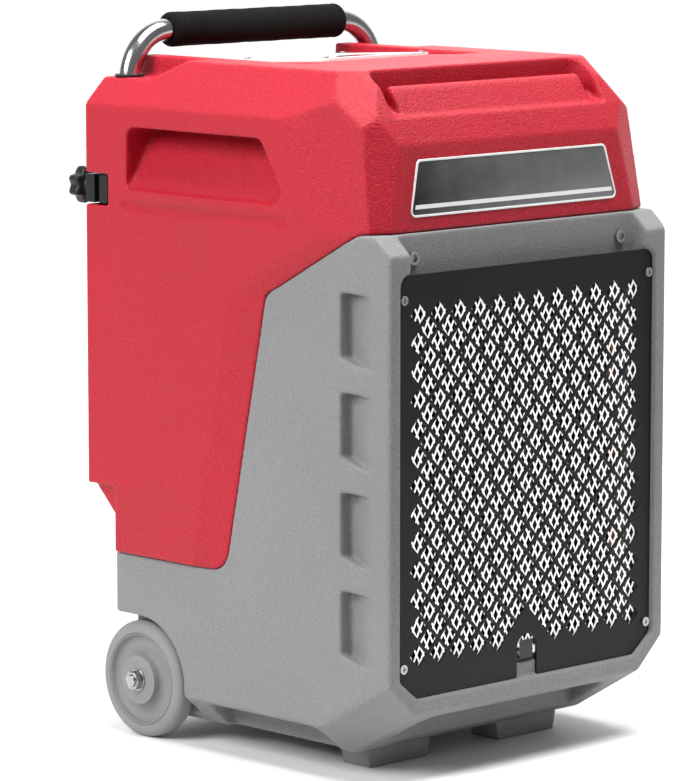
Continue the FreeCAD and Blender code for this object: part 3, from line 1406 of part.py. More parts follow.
def make_fan():
    """The axial fan: impeller, shaft, motor, strap and shroud."""
    centre = (0.0, depth(S.fan_depth), S.fan_height)

    def blade_section(radius, chord, angle):
        turn = math.radians(angle)
        across, along = chord / 2 * math.cos(turn), chord / 2 * math.sin(turn)
        thick = S.blade_thickness / 2
        near = depth(S.fan_depth)
        corners = [Vector(-across, near - along - thick, S.fan_height + radius),
                   Vector(across, near + along - thick, S.fan_height + radius),
                   Vector(across, near + along + thick, S.fan_height + radius),
                   Vector(-across, near - along + thick, S.fan_height + radius)]
        return Part.makePolygon(corners + corners[:1])

    loft = Part.makeLoft([blade_section(float(S.fan_hub_radius) - 4.0, 36.0, 38.0),
                          blade_section(float(S.fan_radius) * 0.62, 66.0, 28.0),
                          blade_section(float(S.fan_radius), 74.0, 20.0)], True)
    limit = Part.makeCylinder(float(S.fan_radius), 60.0, Vector(0, depth(S.fan_depth) - 30.0, S.fan_height),
                              Vector(0, 1, 0))
    first = loft.common(limit)
    blades = []
    for number in range(BLADE_COUNT):
        turned_blade = first.copy()
        turned_blade.rotate(Vector(*centre), Vector(0, 1, 0), 360.0 / BLADE_COUNT * number)
        blades.append(feature("blade_%d" % number, turned_blade))
    hub = cylinder("fan_hub", "Y", (0.0, depth(S.fan_depth) - 11.0, S.fan_height), S.fan_hub_radius, 22.0)
    shaft_hole = cylinder("fan_shaft_hole", "Y", (0.0, depth(S.fan_depth) - 8.0, S.fan_height), 4.05, 30.0)
    node("fan_impeller", cut("fan_impeller_cut", fuse("fan_impeller_solid", hub, *blades), shaft_hole))
    node("fan_shaft", cylinder("shaft", "Y", (0.0, depth(S.fan_depth) - 8.0, S.fan_height), 4.0, 38.0))
    motor = cylinder("motor_can", "Y", (0.0, depth(170.0), S.fan_height), 44.0, 70.0)
    motor_soft = rounded("motor_soft", motor, 6.0, chooser=lambda edge: isinstance(edge.Curve, Part.Circle))
    motor_hole = cylinder("motor_hole", "Y", (0.0, depth(169.0), S.fan_height), 4.05, 13.0)
    node("fan_motor", cut("fan_motor_cut", motor_soft, motor_hole))
    low, high = S.fan_height - 10.0, S.fan_height + 10.0
    shroud_rear = depth(131.0)
    strap = [box("strap_back", (-172.0, depth(240.0), low), (172.0, depth(243.0), high)),
             box("strap_left", (-172.0, shroud_rear, low), (-169.0, depth(243.0), high)),
             box("strap_right", (169.0, shroud_rear, low), (172.0, depth(243.0), high))]
    node("motor_strap", fuse("motor_strap_solid", *strap))
    plate = box("shroud_plate", (-184.0, depth(128.0), S.tray_height + 2.0), (184.0, shroud_rear, 470.0))
    throat = ring("shroud_throat", "Y", (0.0, depth(128.0), S.fan_height), 134.0, 131.0, 36.0)
    tabs = [box("shroud_tab_%d_%d" % (side, z), (x, depth(128.0), z), (x + 6.0, depth(131.0), z + 30.0))
            for side, x in ((0, -190.0), (1, 184.0)) for z in (200, 390)]
    hole = cylinder("shroud_hole", "Y", (0.0, depth(127.0), S.fan_height), 131.0, 10.0)
    slots = [box("discharge_slot", (158.0, depth(127.0), 341.0), (195.0, depth(133.0), 361.0)),
             box("suction_slot", (154.0, depth(127.0), 104.0), (172.0, depth(133.0), 124.0)),
             cylinder("pan_spout_hole", "Y", (S.pump_x, depth(127.0), S.pan_spout_height), 6.0, 6.0)]
    wider = fuse("shroud_solid", cut("shroud_pierced", plate, hole), throat, *tabs)
    node("fan_shroud", cut("fan_shroud_cut", wider, *slots))


# ---------------------------------------------------------------- water, tray and electrics

def make_water():
    """The base tray, drain pan, pump and the hoses between them and the outlet at the back."""
    floor, shelf = S.tub_bottom + S.wall, S.tray_height
    tray = fuse("tray_solid",
                box("tray_top", (-155.0, depth(30.0), shelf), (155.0, depth(375.0), shelf + 2.0)),
                box("tray_left_leg", (-140.0, depth(100.0), floor), (-138.0, depth(325.0), shelf)),
                box("tray_right_leg", (138.0, depth(100.0), floor), (140.0, depth(325.0), shelf)))
    node("base_tray", tray)
    low = S.tray_height + 2.0
    pan = cut("pan_hollow", box("pan_outside", (-155.0, depth(28.0), low), (155.0, depth(126.0), low + 26.0)),
              box("pan_inside", (-153.0, depth(30.0), low + 2.0), (153.0, depth(124.0), low + 30.0)))
    spout = cylinder("pan_spout", "Y", (S.pump_x, depth(124.5), S.pan_spout_height), 5.0, 28.0)
    spout_bore = cylinder("pan_spout_bore", "Y", (S.pump_x, depth(123.0), S.pan_spout_height), 3.5, 32.0)
    node("drain_pan", cut("drain_pan_cut", fuse("drain_pan_solid", pan, spout), spout_bore))
    x = S.pump_x
    tank = cut("tank_hollow",
               box("tank_outside", (x - 45.0, depth(270.0), low), (x + 45.0, depth(350.0), 150.0)),
               box("tank_inside", (x - 42.5, depth(272.5), low + 2.5), (x + 42.5, depth(347.5), 151.0)))
    inlet = cylinder("tank_inlet", "Y", (x, depth(254.0), S.pan_spout_height), 5.0, 17.0)
    inlet_bore = cylinder("tank_inlet_bore", "Y", (x, depth(253.0), S.pan_spout_height), 3.5, 20.5)
    node("pump_tank", cut("pump_tank_cut", fuse("pump_tank_solid", tank, inlet), inlet_bore))
    head = fuse("pump_head_solid",
                box("pump_lid", (x - 45.0, depth(270.0), 150.0), (x + 45.0, depth(350.0), 153.0)),
                cylinder("pump_volute", "Z", (x, depth(305.0), 153.0), 24.0, 24.0),
                cylinder("pump_inlet", "Z", (x, depth(305.0), 84.0), 16.0, 66.0),
                cylinder("pump_spout", "Y", (x, depth(325.0), S.drain_height), 5.0, 24.0))
    node("pump_head", head)
    node("pump_motor", cylinder("pump_motor_can", "Z", (x, depth(305.0), 177.0), 20.0, 44.0))
    node("water_hoses", group("water_hoses_all",
                              ring("pan_hose", "Y", (x, depth(140.0), S.pan_spout_height), 7.5, 5.05, 126.0),
                              ring("drain_hose", "Y", (x, depth(332.0), S.drain_height), 7.5, 5.05, 44.0)))
    near = depth(S.tub_depth - S.wall)
    fitting = fuse("drain_fitting_solid",
                   cylinder("fitting_barb_inside", "Y", (x, depth(362.0), S.drain_height), 5.0, 20.0),
                   cylinder("fitting_shank", "Y", (x, near - 1.0, S.drain_height), 9.1, 8.0),
                   prism("fitting_flange", "XZ", hexagon(x, S.drain_height, 25.0), depth(S.tub_depth),
                         depth(S.tub_depth + 4.0)),
                   cylinder("fitting_barb_outside", "Y", (x, depth(S.tub_depth + 3.0), S.drain_height),
                            6.5, 17.0))
    bore = cylinder("fitting_bore", "Y", (x, depth(360.0), S.drain_height), 3.5, 60.0)
    node("drain_fitting", cut("drain_fitting_cut", fitting, bore))


def make_rear():
    """The outlet guard and the cord's empty inlet at the back, the run capacitor and the main lead inside."""
    face = depth(S.shell_depth)
    collar = ring("outlet_collar", "Y", (0.0, face - 16.0, S.outlet_height), S.outlet_radius - 0.2,
                  S.outlet_radius - 4.0, 16.5)
    flange = ring("outlet_flange", "Y", (0.0, face, S.outlet_height), S.outlet_radius + 8.0,
                  S.outlet_radius - 4.0, 3.0)
    half_wire = 1.5
    rings = [ring("outlet_ring_%d" % size, "Y", (0.0, face - 6.0, S.outlet_height), size + half_wire,
                  size - half_wire, 4.0) for size in (24.0, 43.0, 62.0, 81.0)]
    bars = []
    reach, half_bar = float(S.outlet_radius) - 3.0, 2.0
    for angle in (0, 60, 120):
        cosine, sine = math.cos(math.radians(angle)), math.sin(math.radians(angle))
        corners = []
        for end, side in ((-1, -1), (1, -1), (1, 1), (-1, 1)):
            out, across = reach * end, half_bar * side
            corners.append((out * cosine - across * sine, S.outlet_height + (out * sine + across * cosine)))
        bars.append(prism("outlet_bar_%d" % angle, "XZ", corners, face - 8.0, face - 4.0))
    disc = cylinder("outlet_disc", "Y", (0.0, face - 6.0, S.outlet_height), 10.0, 4.0)
    node("outlet_grille", fuse("outlet_grille_solid", collar, flange, disc, *rings, *bars))
    gland = turned("gland", [(5.0, 0.0), (15.0, 0.0), (15.0, 6.0), (12.1, 6.0), (12.1, 11.0), (16.0, 11.0),
                             (16.0, 16.0), (10.0, 19.0), (7.5, 27.0), (5.0, 27.0)])
    inlet_x, inlet_height = -110.0, 290.0
    node("cable_gland", place(gland, inlet_x, depth(S.shell_depth - 11.0), inlet_height,
                              Rotation(Vector(1, 0, 0), -90)))
    node("run_capacitor", cylinder("capacitor_can", "Z", (-130.0, depth(205.0), S.tray_height + 2.0),
                                   20.0, 92.0))
    lead = [(inlet_x, depth(S.shell_depth - 11.5), inlet_height), (inlet_x, depth(392.0), inlet_height),
            (inlet_x, depth(392.0), 560.0), (-40.0, depth(300.0), 600.0), (-40.0, depth(300.0), 640.0)]
    node("main_lead", tube("main_lead_bent", lead, 14.0, 3.5))


# ---------------------------------------------------------------- checks and export

def check_and_export():
    """Recompute, refuse anything failed, and write one STEP file per sub-part."""
    doc.recompute()
    for thing in doc.Objects:
        if "Invalid" in thing.State or "Error" in thing.State:
            raise RuntimeError("failed: %s (%s)" % (thing.Label, thing.State))
    os.makedirs("parts", exist_ok=True)
    for name, thing in nodes.items():
        shape = thing.Shape
        if shape.isNull() or not shape.isValid() or not shape.Solids:
            raise RuntimeError("bad shape: " + name)
        shape.exportStep("parts/%s.step" % name)
        print("%-24s %2d solids %10.0f mm3" % (name, len(shape.Solids), shape.Volume))


MAKERS = (make_lower_housing, make_upper_housing, make_front_grille, make_housing_screws, make_filter,
          make_nameplate, make_handle, make_clamps, make_wheels, make_feet, make_controls,
          make_cooling_circuit, make_compressor, make_fan, make_water, make_rear)

for make in MAKERS:
    make()
check_and_export()
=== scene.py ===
"""The looks of a portable dehumidifier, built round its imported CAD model.

Everything is in metres: +Z is up, and the intake grille faces -Y. Profiles are written in millimetres.
"""

import json
import math

import bmesh
import bpy
from mathutils import Matrix, Vector


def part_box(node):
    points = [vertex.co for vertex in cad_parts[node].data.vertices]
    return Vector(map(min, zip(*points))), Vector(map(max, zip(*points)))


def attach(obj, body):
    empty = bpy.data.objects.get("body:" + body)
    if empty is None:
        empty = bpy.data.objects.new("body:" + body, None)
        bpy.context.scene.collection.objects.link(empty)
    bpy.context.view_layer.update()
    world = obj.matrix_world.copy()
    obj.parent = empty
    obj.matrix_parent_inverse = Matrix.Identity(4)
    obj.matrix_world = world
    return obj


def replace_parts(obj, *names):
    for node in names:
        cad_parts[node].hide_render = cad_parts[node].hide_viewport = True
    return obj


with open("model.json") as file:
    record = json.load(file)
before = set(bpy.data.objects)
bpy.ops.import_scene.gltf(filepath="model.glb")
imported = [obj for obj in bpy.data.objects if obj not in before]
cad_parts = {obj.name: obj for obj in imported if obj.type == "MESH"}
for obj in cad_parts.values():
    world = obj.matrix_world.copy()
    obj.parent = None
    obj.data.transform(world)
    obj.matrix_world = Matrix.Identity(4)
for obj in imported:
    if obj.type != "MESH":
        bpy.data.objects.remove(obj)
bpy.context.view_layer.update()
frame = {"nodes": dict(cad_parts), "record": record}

MM = 0.001
TUBE_RADIUS = 11.0 * MM
HANDLE_BEND = 48.0 * MM

# The nameplate leans back and narrows towards its top.
NOSE_LEAN = math.atan2(7.4, 81.6)
NAMEPLATE_TAPER = 132.0 / 145.5

# The lattice repeats with the pitch of the grille's holes.
HOLE_PITCH = 27.1 * MM
CELLS_PER_PITCH = 3
CELL_SHAPE = 1.8
LATTICE_PHASE = 0.127

CAMERA_PLACE = (-3.0795, -3.1232, 0.9612)
CAMERA_TURN = (math.radians(90.0 - 8.035), 0.0, math.radians(-44.27))
CAMERA_LENS = 204.48

# The studio's light is graded along the camera's heading.
AHEAD = (0.698, 0.716, 0.0)
DIM_SIDE = 0.24
BRIGHT_SIDE = 1.8
FLOOR_GLOW = 0.6
FLOOR_DIMMED = 0.35


# ---------------------------------------------------------------- materials

def colour_mix(tree, factor, first, second):
    """A node that mixes two colours."""
    mix = tree.nodes.new("ShaderNodeMix")
    mix.data_type = "RGBA"
    mix.inputs["A"].default_value = (*first, 1.0)
    mix.inputs["B"].default_value = (*second, 1.0)
    tree.links.new(factor, mix.inputs["Factor"])
    return mix.outputs["Result"]


def noise(tree, place, scale, detail=3.0):
    """Noise whose middle levels are spread over 0 to 1."""
    texture = tree.nodes.new("ShaderNodeTexNoise")
    texture.inputs["Scale"].default_value = scale
    texture.inputs["Detail"].default_value = detail
    texture.inputs["Roughness"].default_value = 0.55
    tree.links.new(place, texture.inputs["Vector"])
    span = tree.nodes.new("ShaderNodeMapRange")
    span.inputs["From Min"].default_value = 0.35
    span.inputs["From Max"].default_value = 0.65
    tree.links.new(texture.outputs["Fac"], span.inputs["Value"])
    return span.outputs["Result"]


def finish(name, colour, other, roughness, metallic=0.0, grain=700.0, grain_depth=0.15, patch=9.0,
           stretch=(1.0, 1.0, 1.0), coat=0.0, speckle=0.5, smoothest=None, painted_glow=0.0, specular=0.5):
    """A material whose colour, gloss and relief all vary: fine grain over broad patches."""
    made = bpy.data.materials.new(name)
    made.use_nodes = True
    tree = made.node_tree
    shader = tree.nodes["Principled BSDF"]
    shader.inputs["Metallic"].default_value = metallic
    shader.inputs["Coat Weight"].default_value = coat
    shader.inputs["Specular IOR Level"].default_value = specular
    # Emission is a painted glow: a part that has it looks lit though it is no lamp.
    shader.inputs["Emission Color"].default_value = (*other, 1.0)
    shader.inputs["Emission Strength"].default_value = painted_glow
    places = tree.nodes.new("ShaderNodeTexCoord")
    mapping = tree.nodes.new("ShaderNodeMapping")
    mapping.inputs["Scale"].default_value = stretch
    tree.links.new(places.outputs["Object"], mapping.inputs["Vector"])
    place = mapping.outputs["Vector"]
    fine = noise(tree, place, grain)
    broad = noise(tree, place, patch, detail=4.0)
    blend = tree.nodes.new("ShaderNodeMath")
    blend.operation = "MULTIPLY_ADD"
    tree.links.new(fine, blend.inputs[0])
    blend.inputs[1].default_value = speckle
    tree.links.new(scaled(tree, broad, 1.0 - speckle), blend.inputs[2])
    tree.links.new(colour_mix(tree, blend.outputs["Value"], colour, other), shader.inputs["Base Color"])
    gloss = tree.nodes.new("ShaderNodeMapRange")
    gloss.inputs["To Min"].default_value = roughness if smoothest is None else smoothest
    gloss.inputs["To Max"].default_value = min(1.0, roughness + 0.08)
    tree.links.new(broad, gloss.inputs["Value"])
    tree.links.new(gloss.outputs["Result"], shader.inputs["Roughness"])
    bump = tree.nodes.new("ShaderNodeBump")
    bump.inputs["Strength"].default_value = 1.0
    bump.inputs["Distance"].default_value = grain_depth * MM
    tree.links.new(fine, bump.inputs["Height"])
    tree.links.new(bump.outputs["Normal"], shader.inputs["Normal"])
    return made


def scaled(tree, value, factor):
    """A value times a number."""
    times = tree.nodes.new("ShaderNodeMath")
    times.operation = "MULTIPLY"
    tree.links.new(value, times.inputs[0])
    times.inputs[1].default_value = factor
    return times.outputs["Value"]


FINISHES = {
    "red_plastic": dict(
        colour=(0.31, 0.002, 0.010), other=(0.53, 0.006, 0.027), roughness=0.42, grain=520.0,
        grain_depth=0.42, patch=5.0, speckle=0.8, specular=0.36),
    "grey_plastic": dict(
        colour=(0.185, 0.185, 0.185), other=(0.255, 0.255, 0.255), roughness=0.55, grain=560.0,
        grain_depth=0.28, patch=5.0, speckle=0.8, specular=0.35),
    "black_steel": dict(
        colour=(0.005, 0.005, 0.005), other=(0.010, 0.010, 0.010), roughness=0.40, grain=1500.0,
        grain_depth=0.03, specular=0.22),
    "screw_steel": dict(
        colour=(0.34, 0.34, 0.35), other=(0.48, 0.48, 0.49), roughness=0.24, metallic=1.0, grain=900.0,
        grain_depth=0.02, patch=60.0),
    "chrome": dict(
        colour=(0.42, 0.42, 0.43), other=(0.50, 0.50, 0.51), roughness=0.16, smoothest=0.12,
        metallic=1.0, grain=400.0, grain_depth=0.002, patch=20.0),
    "foam": dict(
        colour=(0.003, 0.003, 0.003), other=(0.011, 0.010, 0.010), roughness=0.85, grain=480.0,
        grain_depth=0.5, patch=14.0, specular=0.1),
    "black_plastic": dict(
        colour=(0.008, 0.008, 0.008), other=(0.016, 0.016, 0.016), roughness=0.36, grain=900.0,
        grain_depth=0.05, specular=0.3),
    "wheel_plastic": dict(
        colour=(0.20, 0.20, 0.20), other=(0.24, 0.24, 0.24), roughness=0.5, grain=800.0,
        grain_depth=0.08, patch=12.0),
    "tyre_rubber": dict(
        colour=(0.20, 0.20, 0.20), other=(0.25, 0.25, 0.25), roughness=0.62, grain=800.0,
        grain_depth=0.1, patch=12.0),
    "panel_plastic": dict(
        colour=(0.78, 0.78, 0.78), other=(0.84, 0.84, 0.84), roughness=0.3, grain=900.0,
        grain_depth=0.02, coat=0.3),
    "key_plastic": dict(
        colour=(0.50, 0.51, 0.53), other=(0.56, 0.57, 0.59), roughness=0.35, grain=900.0,
        grain_depth=0.03, coat=0.2),
    "display_glass": dict(
        colour=(0.02, 0.03, 0.03), other=(0.04, 0.05, 0.05), roughness=0.06, grain=300.0,
        grain_depth=0.002, coat=1.0),
    "circuit_board": dict(
        colour=(0.01, 0.12, 0.05), other=(0.02, 0.2, 0.08), roughness=0.35, grain=500.0,
        grain_depth=0.05, patch=80.0),
    # Painted shade: the fins are kept dark so the space behind the grille's lattice looks shaded.
    "fin_metal": dict(
        colour=(0.10, 0.10, 0.11), other=(0.17, 0.17, 0.18), roughness=0.45, metallic=1.0, grain=500.0,
        grain_depth=0.03, stretch=(1.0, 1.0, 0.05)),
    # Painted shade: the copper is darkened so its tubes behind the grille look shaded; all tubes share this
    # dark copper.
    "copper": dict(
        colour=(0.22, 0.085, 0.045), other=(0.34, 0.14, 0.08), roughness=0.34, metallic=1.0,
        grain=300.0, grain_depth=0.02, patch=30.0),
    "filter_frame_plastic": dict(
        colour=(0.02, 0.02, 0.022), other=(0.035, 0.035, 0.037), roughness=0.5, grain=900.0,
        grain_depth=0.06),
    # The lattice wires carry a painted glow, so they look white and brightly lit behind the grille.
    "filter_wire": dict(
        colour=(0.80, 0.80, 0.80), other=(0.95, 0.95, 0.95), roughness=0.38, metallic=0.25,
        grain=500.0, grain_depth=0.06, patch=60.0, painted_glow=0.85),
    "compressor_paint": dict(
        colour=(0.012, 0.012, 0.012), other=(0.03, 0.03, 0.03), roughness=0.22, coat=0.6, grain=260.0,
        grain_depth=0.06),
    "rubber": dict(
        colour=(0.018, 0.018, 0.018), other=(0.035, 0.035, 0.035), roughness=0.7, grain=700.0,
        grain_depth=0.12),
    "galvanised": dict(
        colour=(0.42, 0.43, 0.45), other=(0.66, 0.67, 0.69), roughness=0.38, metallic=1.0, grain=160.0,
        grain_depth=0.02, patch=70.0),
    "fan_plastic": dict(
        colour=(0.02, 0.02, 0.022), other=(0.045, 0.045, 0.047), roughness=0.45, grain=700.0,
        grain_depth=0.06),
    "tank_plastic": dict(
        colour=(0.58, 0.58, 0.55), other=(0.68, 0.68, 0.65), roughness=0.4, grain=600.0,
        grain_depth=0.05),
    "capacitor_can": dict(
        colour=(0.60, 0.61, 0.63), other=(0.74, 0.75, 0.77), roughness=0.3, metallic=1.0, grain=400.0,
        grain_depth=0.02, stretch=(1.0, 1.0, 0.05)),
    # Nameplate field: broad lighter patches over near-black stand partly for the plate's own dark gradient
    # and partly for a painted sheen.
    "plate_metal": dict(
        colour=(0.016, 0.016, 0.017), other=(0.200, 0.200, 0.205), roughness=0.30, metallic=0.5,
        grain=900.0, grain_depth=0.02, patch=6.0, speckle=0.08),
}
materials = {slot: finish(slot, **settings) for slot, settings in FINISHES.items()}


def dress_frame():
    """Give every CAD node the finish of its slot."""
    for entry in frame["record"]["subparts"]:
        shown = frame["nodes"][entry["node"]]
        for holder in shown.material_slots:
            holder.material = materials[entry["material_slot"]]


# ---------------------------------------------------------------- meshes

def piece(name, mesh, body, slot, smooth_angle=35.0):
    """A finished piece: named, smoothed, riding on its body and wearing its slot's finish."""
    made = bpy.data.objects.new(name, bpy.data.meshes.new(name))
    mesh.normal_update()
    bmesh.ops.recalc_face_normals(mesh, faces=mesh.faces)
    mesh.to_mesh(made.data)
    mesh.free()
    made.data.shade_smooth()
    made.data.set_sharp_from_angle(angle=math.radians(smooth_angle))
    made.data.materials.append(materials[slot])
    bpy.context.scene.collection.objects.link(made)
    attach(made, body)
    return made


def soften(thing, width):
    """Round a part's sharp edges with modifiers, leaving its mesh as it is."""
    weld = thing.modifiers.new("Weld", "WELD")
    weld.merge_threshold = 0.00002
    flat = thing.modifiers.new("Flat", "DECIMATE")
    flat.decimate_type = "DISSOLVE"
    flat.angle_limit = math.radians(0.6)
    bevel = thing.modifiers.new("Soft edges", "BEVEL")
    bevel.width = width
    bevel.segments = 2
    bevel.limit_method = "ANGLE"
    bevel.angle_limit = math.radians(30.0)
    bevel.miter_outer = "MITER_ARC"
    bevel.harden_normals = True


def loops_to_faces(mesh, loops, closed_along=False, capped=True):
    """Join successive rings of vertices into a skin."""
    pairs = list(zip(loops, loops[1:] + loops[:1])) if closed_along else list(zip(loops, loops[1:]))
    for first, second in pairs:
        count = len(first)
        for number in range(count):
            following = (number + 1) % count
            mesh.faces.new((first[number], first[following], second[following], second[number]))
    if capped and not closed_along:
        mesh.faces.new(list(reversed(loops[0])))
        mesh.faces.new(loops[-1])


def turned(profile, to_world, segments, lobes=0, closed=False):
    """A shape turned round an axis from (radius, along, lobe height); to_world places axis points."""
    mesh = bmesh.new()
    loops = []
    for radius, along, lobe in profile:
        ring = []
        for number in range(segments):
            angle = 2 * math.pi * number / segments
            reach = radius + lobe * math.cos(lobes * angle)
            ring.append(mesh.verts.new(to_world(reach * math.cos(angle), reach * math.sin(angle), along)))
        loops.append(ring)
    loops_to_faces(mesh, loops, closed_along=closed)
    return mesh


def arc_points(corners, radius, steps):
    """A path through corners with each inner corner turned into an arc."""
    points = [Vector(corners[0])]
    for before, corner, after in zip(corners, corners[1:], corners[2:]):
        before, corner, after = Vector(before), Vector(corner), Vector(after)
        start = corner + (before - corner).normalized() * radius
        end = corner + (after - corner).normalized() * radius
        centre = start + end - corner
        for step in range(steps + 1):
            angle = math.pi / 2 * step / steps
            points.append(centre + (start - centre) * math.cos(angle) + (end - centre) * math.sin(angle))
    points.append(Vector(corners[-1]))
    return points


def swept(points, radius, segments):
    """A round bar along a path that stays in one plane facing Y."""
    mesh = bmesh.new()
    loops = []
    sideways = Vector((0, 1, 0))
    for number, point in enumerate(points):
        before = points[max(number - 1, 0)]
        after = points[min(number + 1, len(points) - 1)]
        along = (after - before).normalized()
        across = along.cross(sideways)
        ring = []
        for step in range(segments):
            angle = 2 * math.pi * step / segments
            outward = across * math.cos(angle) + sideways * math.sin(angle)
            ring.append(mesh.verts.new(point + outward * radius))
        loops.append(ring)
    loops_to_faces(mesh, loops)
    return mesh


def rounded_outline(corners, radius, steps=8):
    """Corner points of a flat outline with each corner rounded."""
    points = []
    count = len(corners)
    for number in range(count):
        before, corner, after = (Vector(corners[number - 1]), Vector(corners[number]),
                                 Vector(corners[(number + 1) % count]))
        to_before, to_after = (before - corner).normalized(), (after - corner).normalized()
        half = to_before.angle(to_after) / 2
        reach = radius / math.tan(half)
        centre = corner + (to_before + to_after).normalized() * (radius / math.sin(half))
        start, end = corner + to_before * reach - centre, corner + to_after * reach - centre
        sweep = math.pi - 2 * half
        for step in range(steps + 1):
            share = step / steps
            first = math.sin((1 - share) * sweep) / math.sin(sweep)
            second = math.sin(share * sweep) / math.sin(sweep)
            points.append(centre + start * first + end * second)
    return points


# ---------------------------------------------------------------- handle, grip and clamps

def make_handle():
    """The polished tube: two legs and a bar with even bends."""
    low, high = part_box("handle_tube")
    x, y = high.x - TUBE_RADIUS, (low.y + high.y) / 2
    top = high.z - TUBE_RADIUS
    path = arc_points([(-x, y, low.z), (-x, y, top), (x, y, top), (x, y, low.z)], HANDLE_BEND, steps=24)
    tube = piece("handle_tube_polished", swept(path, TUBE_RADIUS, 64), "handle", "chrome")
    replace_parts(tube, "handle_tube")


def make_foam_grip():
    """The foam sleeve: rounded ends that close onto the tube, and a skin that is never quite straight."""
    low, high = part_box("foam_grip")
    centre = (low + high) / 2
    half, outer = (high.x - low.x) / 2, (high.z - low.z) / 2
    inner = TUBE_RADIUS + 0.1 * MM
    end_round = 6.0 * MM
    profile = [(inner, -half + 1.2 * MM, 0.0), (inner + 1.5 * MM, -half + 0.2 * MM, 0.0)]
    for step in range(7):
        angle = math.pi / 2 * step / 6
        profile.append((outer - end_round + end_round * math.sin(angle),
                        -half + end_round - end_round * math.cos(angle), 0.0))
    stations = 60
    for number in range(1, stations):
        along = -half + end_round + (2 * half - 2 * end_round) * number / stations
        slack = 0.12 * MM * (math.sin(number * 0.9) + math.sin(number * 0.37 + 1.0))
        profile.append((outer - 0.3 * MM + slack, along, 0.0))
    profile += [(radius, -along, lobe) for radius, along, lobe in reversed(profile[:9])]
    grip = piece("foam_grip_soft", turned(profile, lambda a, b, along: centre + Vector((along, a, b)), 72,
                                          closed=True), "handle", "foam", smooth_angle=60.0)
    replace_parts(grip, "foam_grip")


# radius, distance from the knob's rear face, lobe height
KNOB_PROFILE = [
    (3.9, -55.8, 0.0), (3.9, -35.0, 0.0), (7.0, -35.0, 0.0), (8.0, -34.0, 0.0), (8.0, -21.0, 0.0),
    (9.5, -16.8, 0.0), (13.0, -16.0, 0.6), (15.3, -15.4, 1.6), (16.6, -13.8, 1.9), (16.9, -11.5, 2.0),
    (16.9, -6.0, 2.0), (16.4, -3.0, 1.9), (14.8, -1.1, 1.6), (12.0, -0.4, 0.8), (9.0, -0.1, 0.0),
    (6.5, -0.1, 0.0), (5.8, -0.8, 0.0), (0.3, -1.1, 0.0),
]


def make_knobs():
    """The star knobs: seven soft lobes, a domed cap and a turned neck."""
    for side in ("left", "right"):
        low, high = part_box("clamp_knob_" + side)
        centre_x, centre_z = (low.x + high.x) / 2, (low.z + high.z) / 2
        rear = high.y

        def to_world(a, b, along):
            return Vector((centre_x + a, rear + along, centre_z + b))

        mesh = turned([(r * MM, d * MM, lobe * MM) for r, d, lobe in KNOB_PROFILE], to_world, 168, lobes=7)
        knob = piece("star_knob_" + side, mesh, "knob_" + side, "black_plastic", smooth_angle=50.0)
        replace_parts(knob, "clamp_knob_" + side)


# ---------------------------------------------------------------- wheels

# radius, distance inwards from the tyre's outer face
TYRE_PROFILE = [
    (46.1, 0.6), (46.6, 0.0), (51.0, 0.0), (53.2, 0.5), (55.4, 1.6), (57.2, 3.2), (58.2, 5.2), (58.6, 7.5),
    (58.6, 16.5), (58.2, 18.8), (57.2, 20.8), (55.4, 22.4), (53.2, 23.5), (51.0, 24.0), (46.6, 24.0),
    (46.1, 23.4),
]
HUB_PROFILE = [
    (6.05, -3.6), (6.4, -4.0), (23.7, -4.0), (24.3, -3.7), (24.5, -3.0), (24.5, 1.6), (25.4, 3.8),
    (28.0, 5.4), (32.5, 6.6), (37.0, 7.0), (40.5, 6.4), (42.6, 4.6), (43.6, 2.6), (44.1, 0.9), (44.8, 0.1),
    (45.5, 0.1), (45.9, 0.6), (45.9, 23.4), (45.5, 23.9), (44.6, 23.8), (43.4, 21.6), (40.5, 18.0),
    (28.0, 17.4), (24.5, 20.4), (24.5, 23.0), (23.5, 24.0), (6.4, 24.0), (6.05, 23.6),
]


def make_wheels():
    """Wheels with a shouldered tread, a dished web and a flat hub disc."""
    for side, sign in (("left", -1.0), ("right", 1.0)):
        low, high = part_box("wheel_tyre_" + side)
        outer = low.x if sign < 0 else high.x
        centre = (low + high) / 2
        for name, profile, slot in (("tyre", TYRE_PROFILE, "tyre_rubber"),
                                    ("hub", HUB_PROFILE, "wheel_plastic")):

            def to_world(a, b, along):
                return Vector((outer - sign * along, centre.y + a, centre.z + b))

            mesh = turned([(r * MM, d * MM, 0.0) for r, d in profile], to_world, 128, closed=True)
            made = piece("%s_%s_turned" % (name, side), mesh, "wheel_" + side, slot, smooth_angle=40.0)
            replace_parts(made, "wheel_%s_%s" % (name, side))


# ---------------------------------------------------------------- filter screen and nameplate

def make_filter_screen():
    """The lattice behind the grille, made bright by a painted glow in its finish: two layers of flat strands
    that slant opposite ways.
    """
    low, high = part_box("filter_screen")
    middle = (low + high) / 2
    cell_width = HOLE_PITCH / CELLS_PER_PITCH
    cell_height = cell_width * CELL_SHAPE
    strand, thick = 1.6 * MM, 0.6 * MM
    slope = cell_height / cell_width
    outline = [(high.x - 11 * MM, low.z), (high.x, low.z + 26 * MM), (high.x, high.z - 15 * MM),
               (high.x - 11 * MM, high.z)]
    outline += [(-x, z) for x, z in reversed(outline)]
    reach = (high.z - low.z) / 2 + high.x * slope
    span = int(reach / cell_height) + 1
    mesh = bmesh.new()
    for family in (-1.0, 1.0):
        y = middle.y + family * 0.2 * MM
        for number in range(-span, span + 1):
            offset = middle.z + (number + LATTICE_PHASE) * cell_height
            ends = clip_line(family * slope, offset, outline)
            if len(ends) < 2:
                continue
            first, last = [Vector((x, y, z)) for x, z in ends]
            along = (last - first).normalized()
            across = Vector((-along.z, 0, along.x)) * (strand / 2)
            deep = Vector((0, thick / 2, 0))
            section = (across - deep, -across - deep, deep - across, across + deep)
            loops_to_faces(mesh, [[mesh.verts.new(point + corner) for corner in section]
                                  for point in (first, last)])
    screen = piece("filter_lattice", mesh, "housing", "filter_wire")
    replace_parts(screen, "filter_screen")


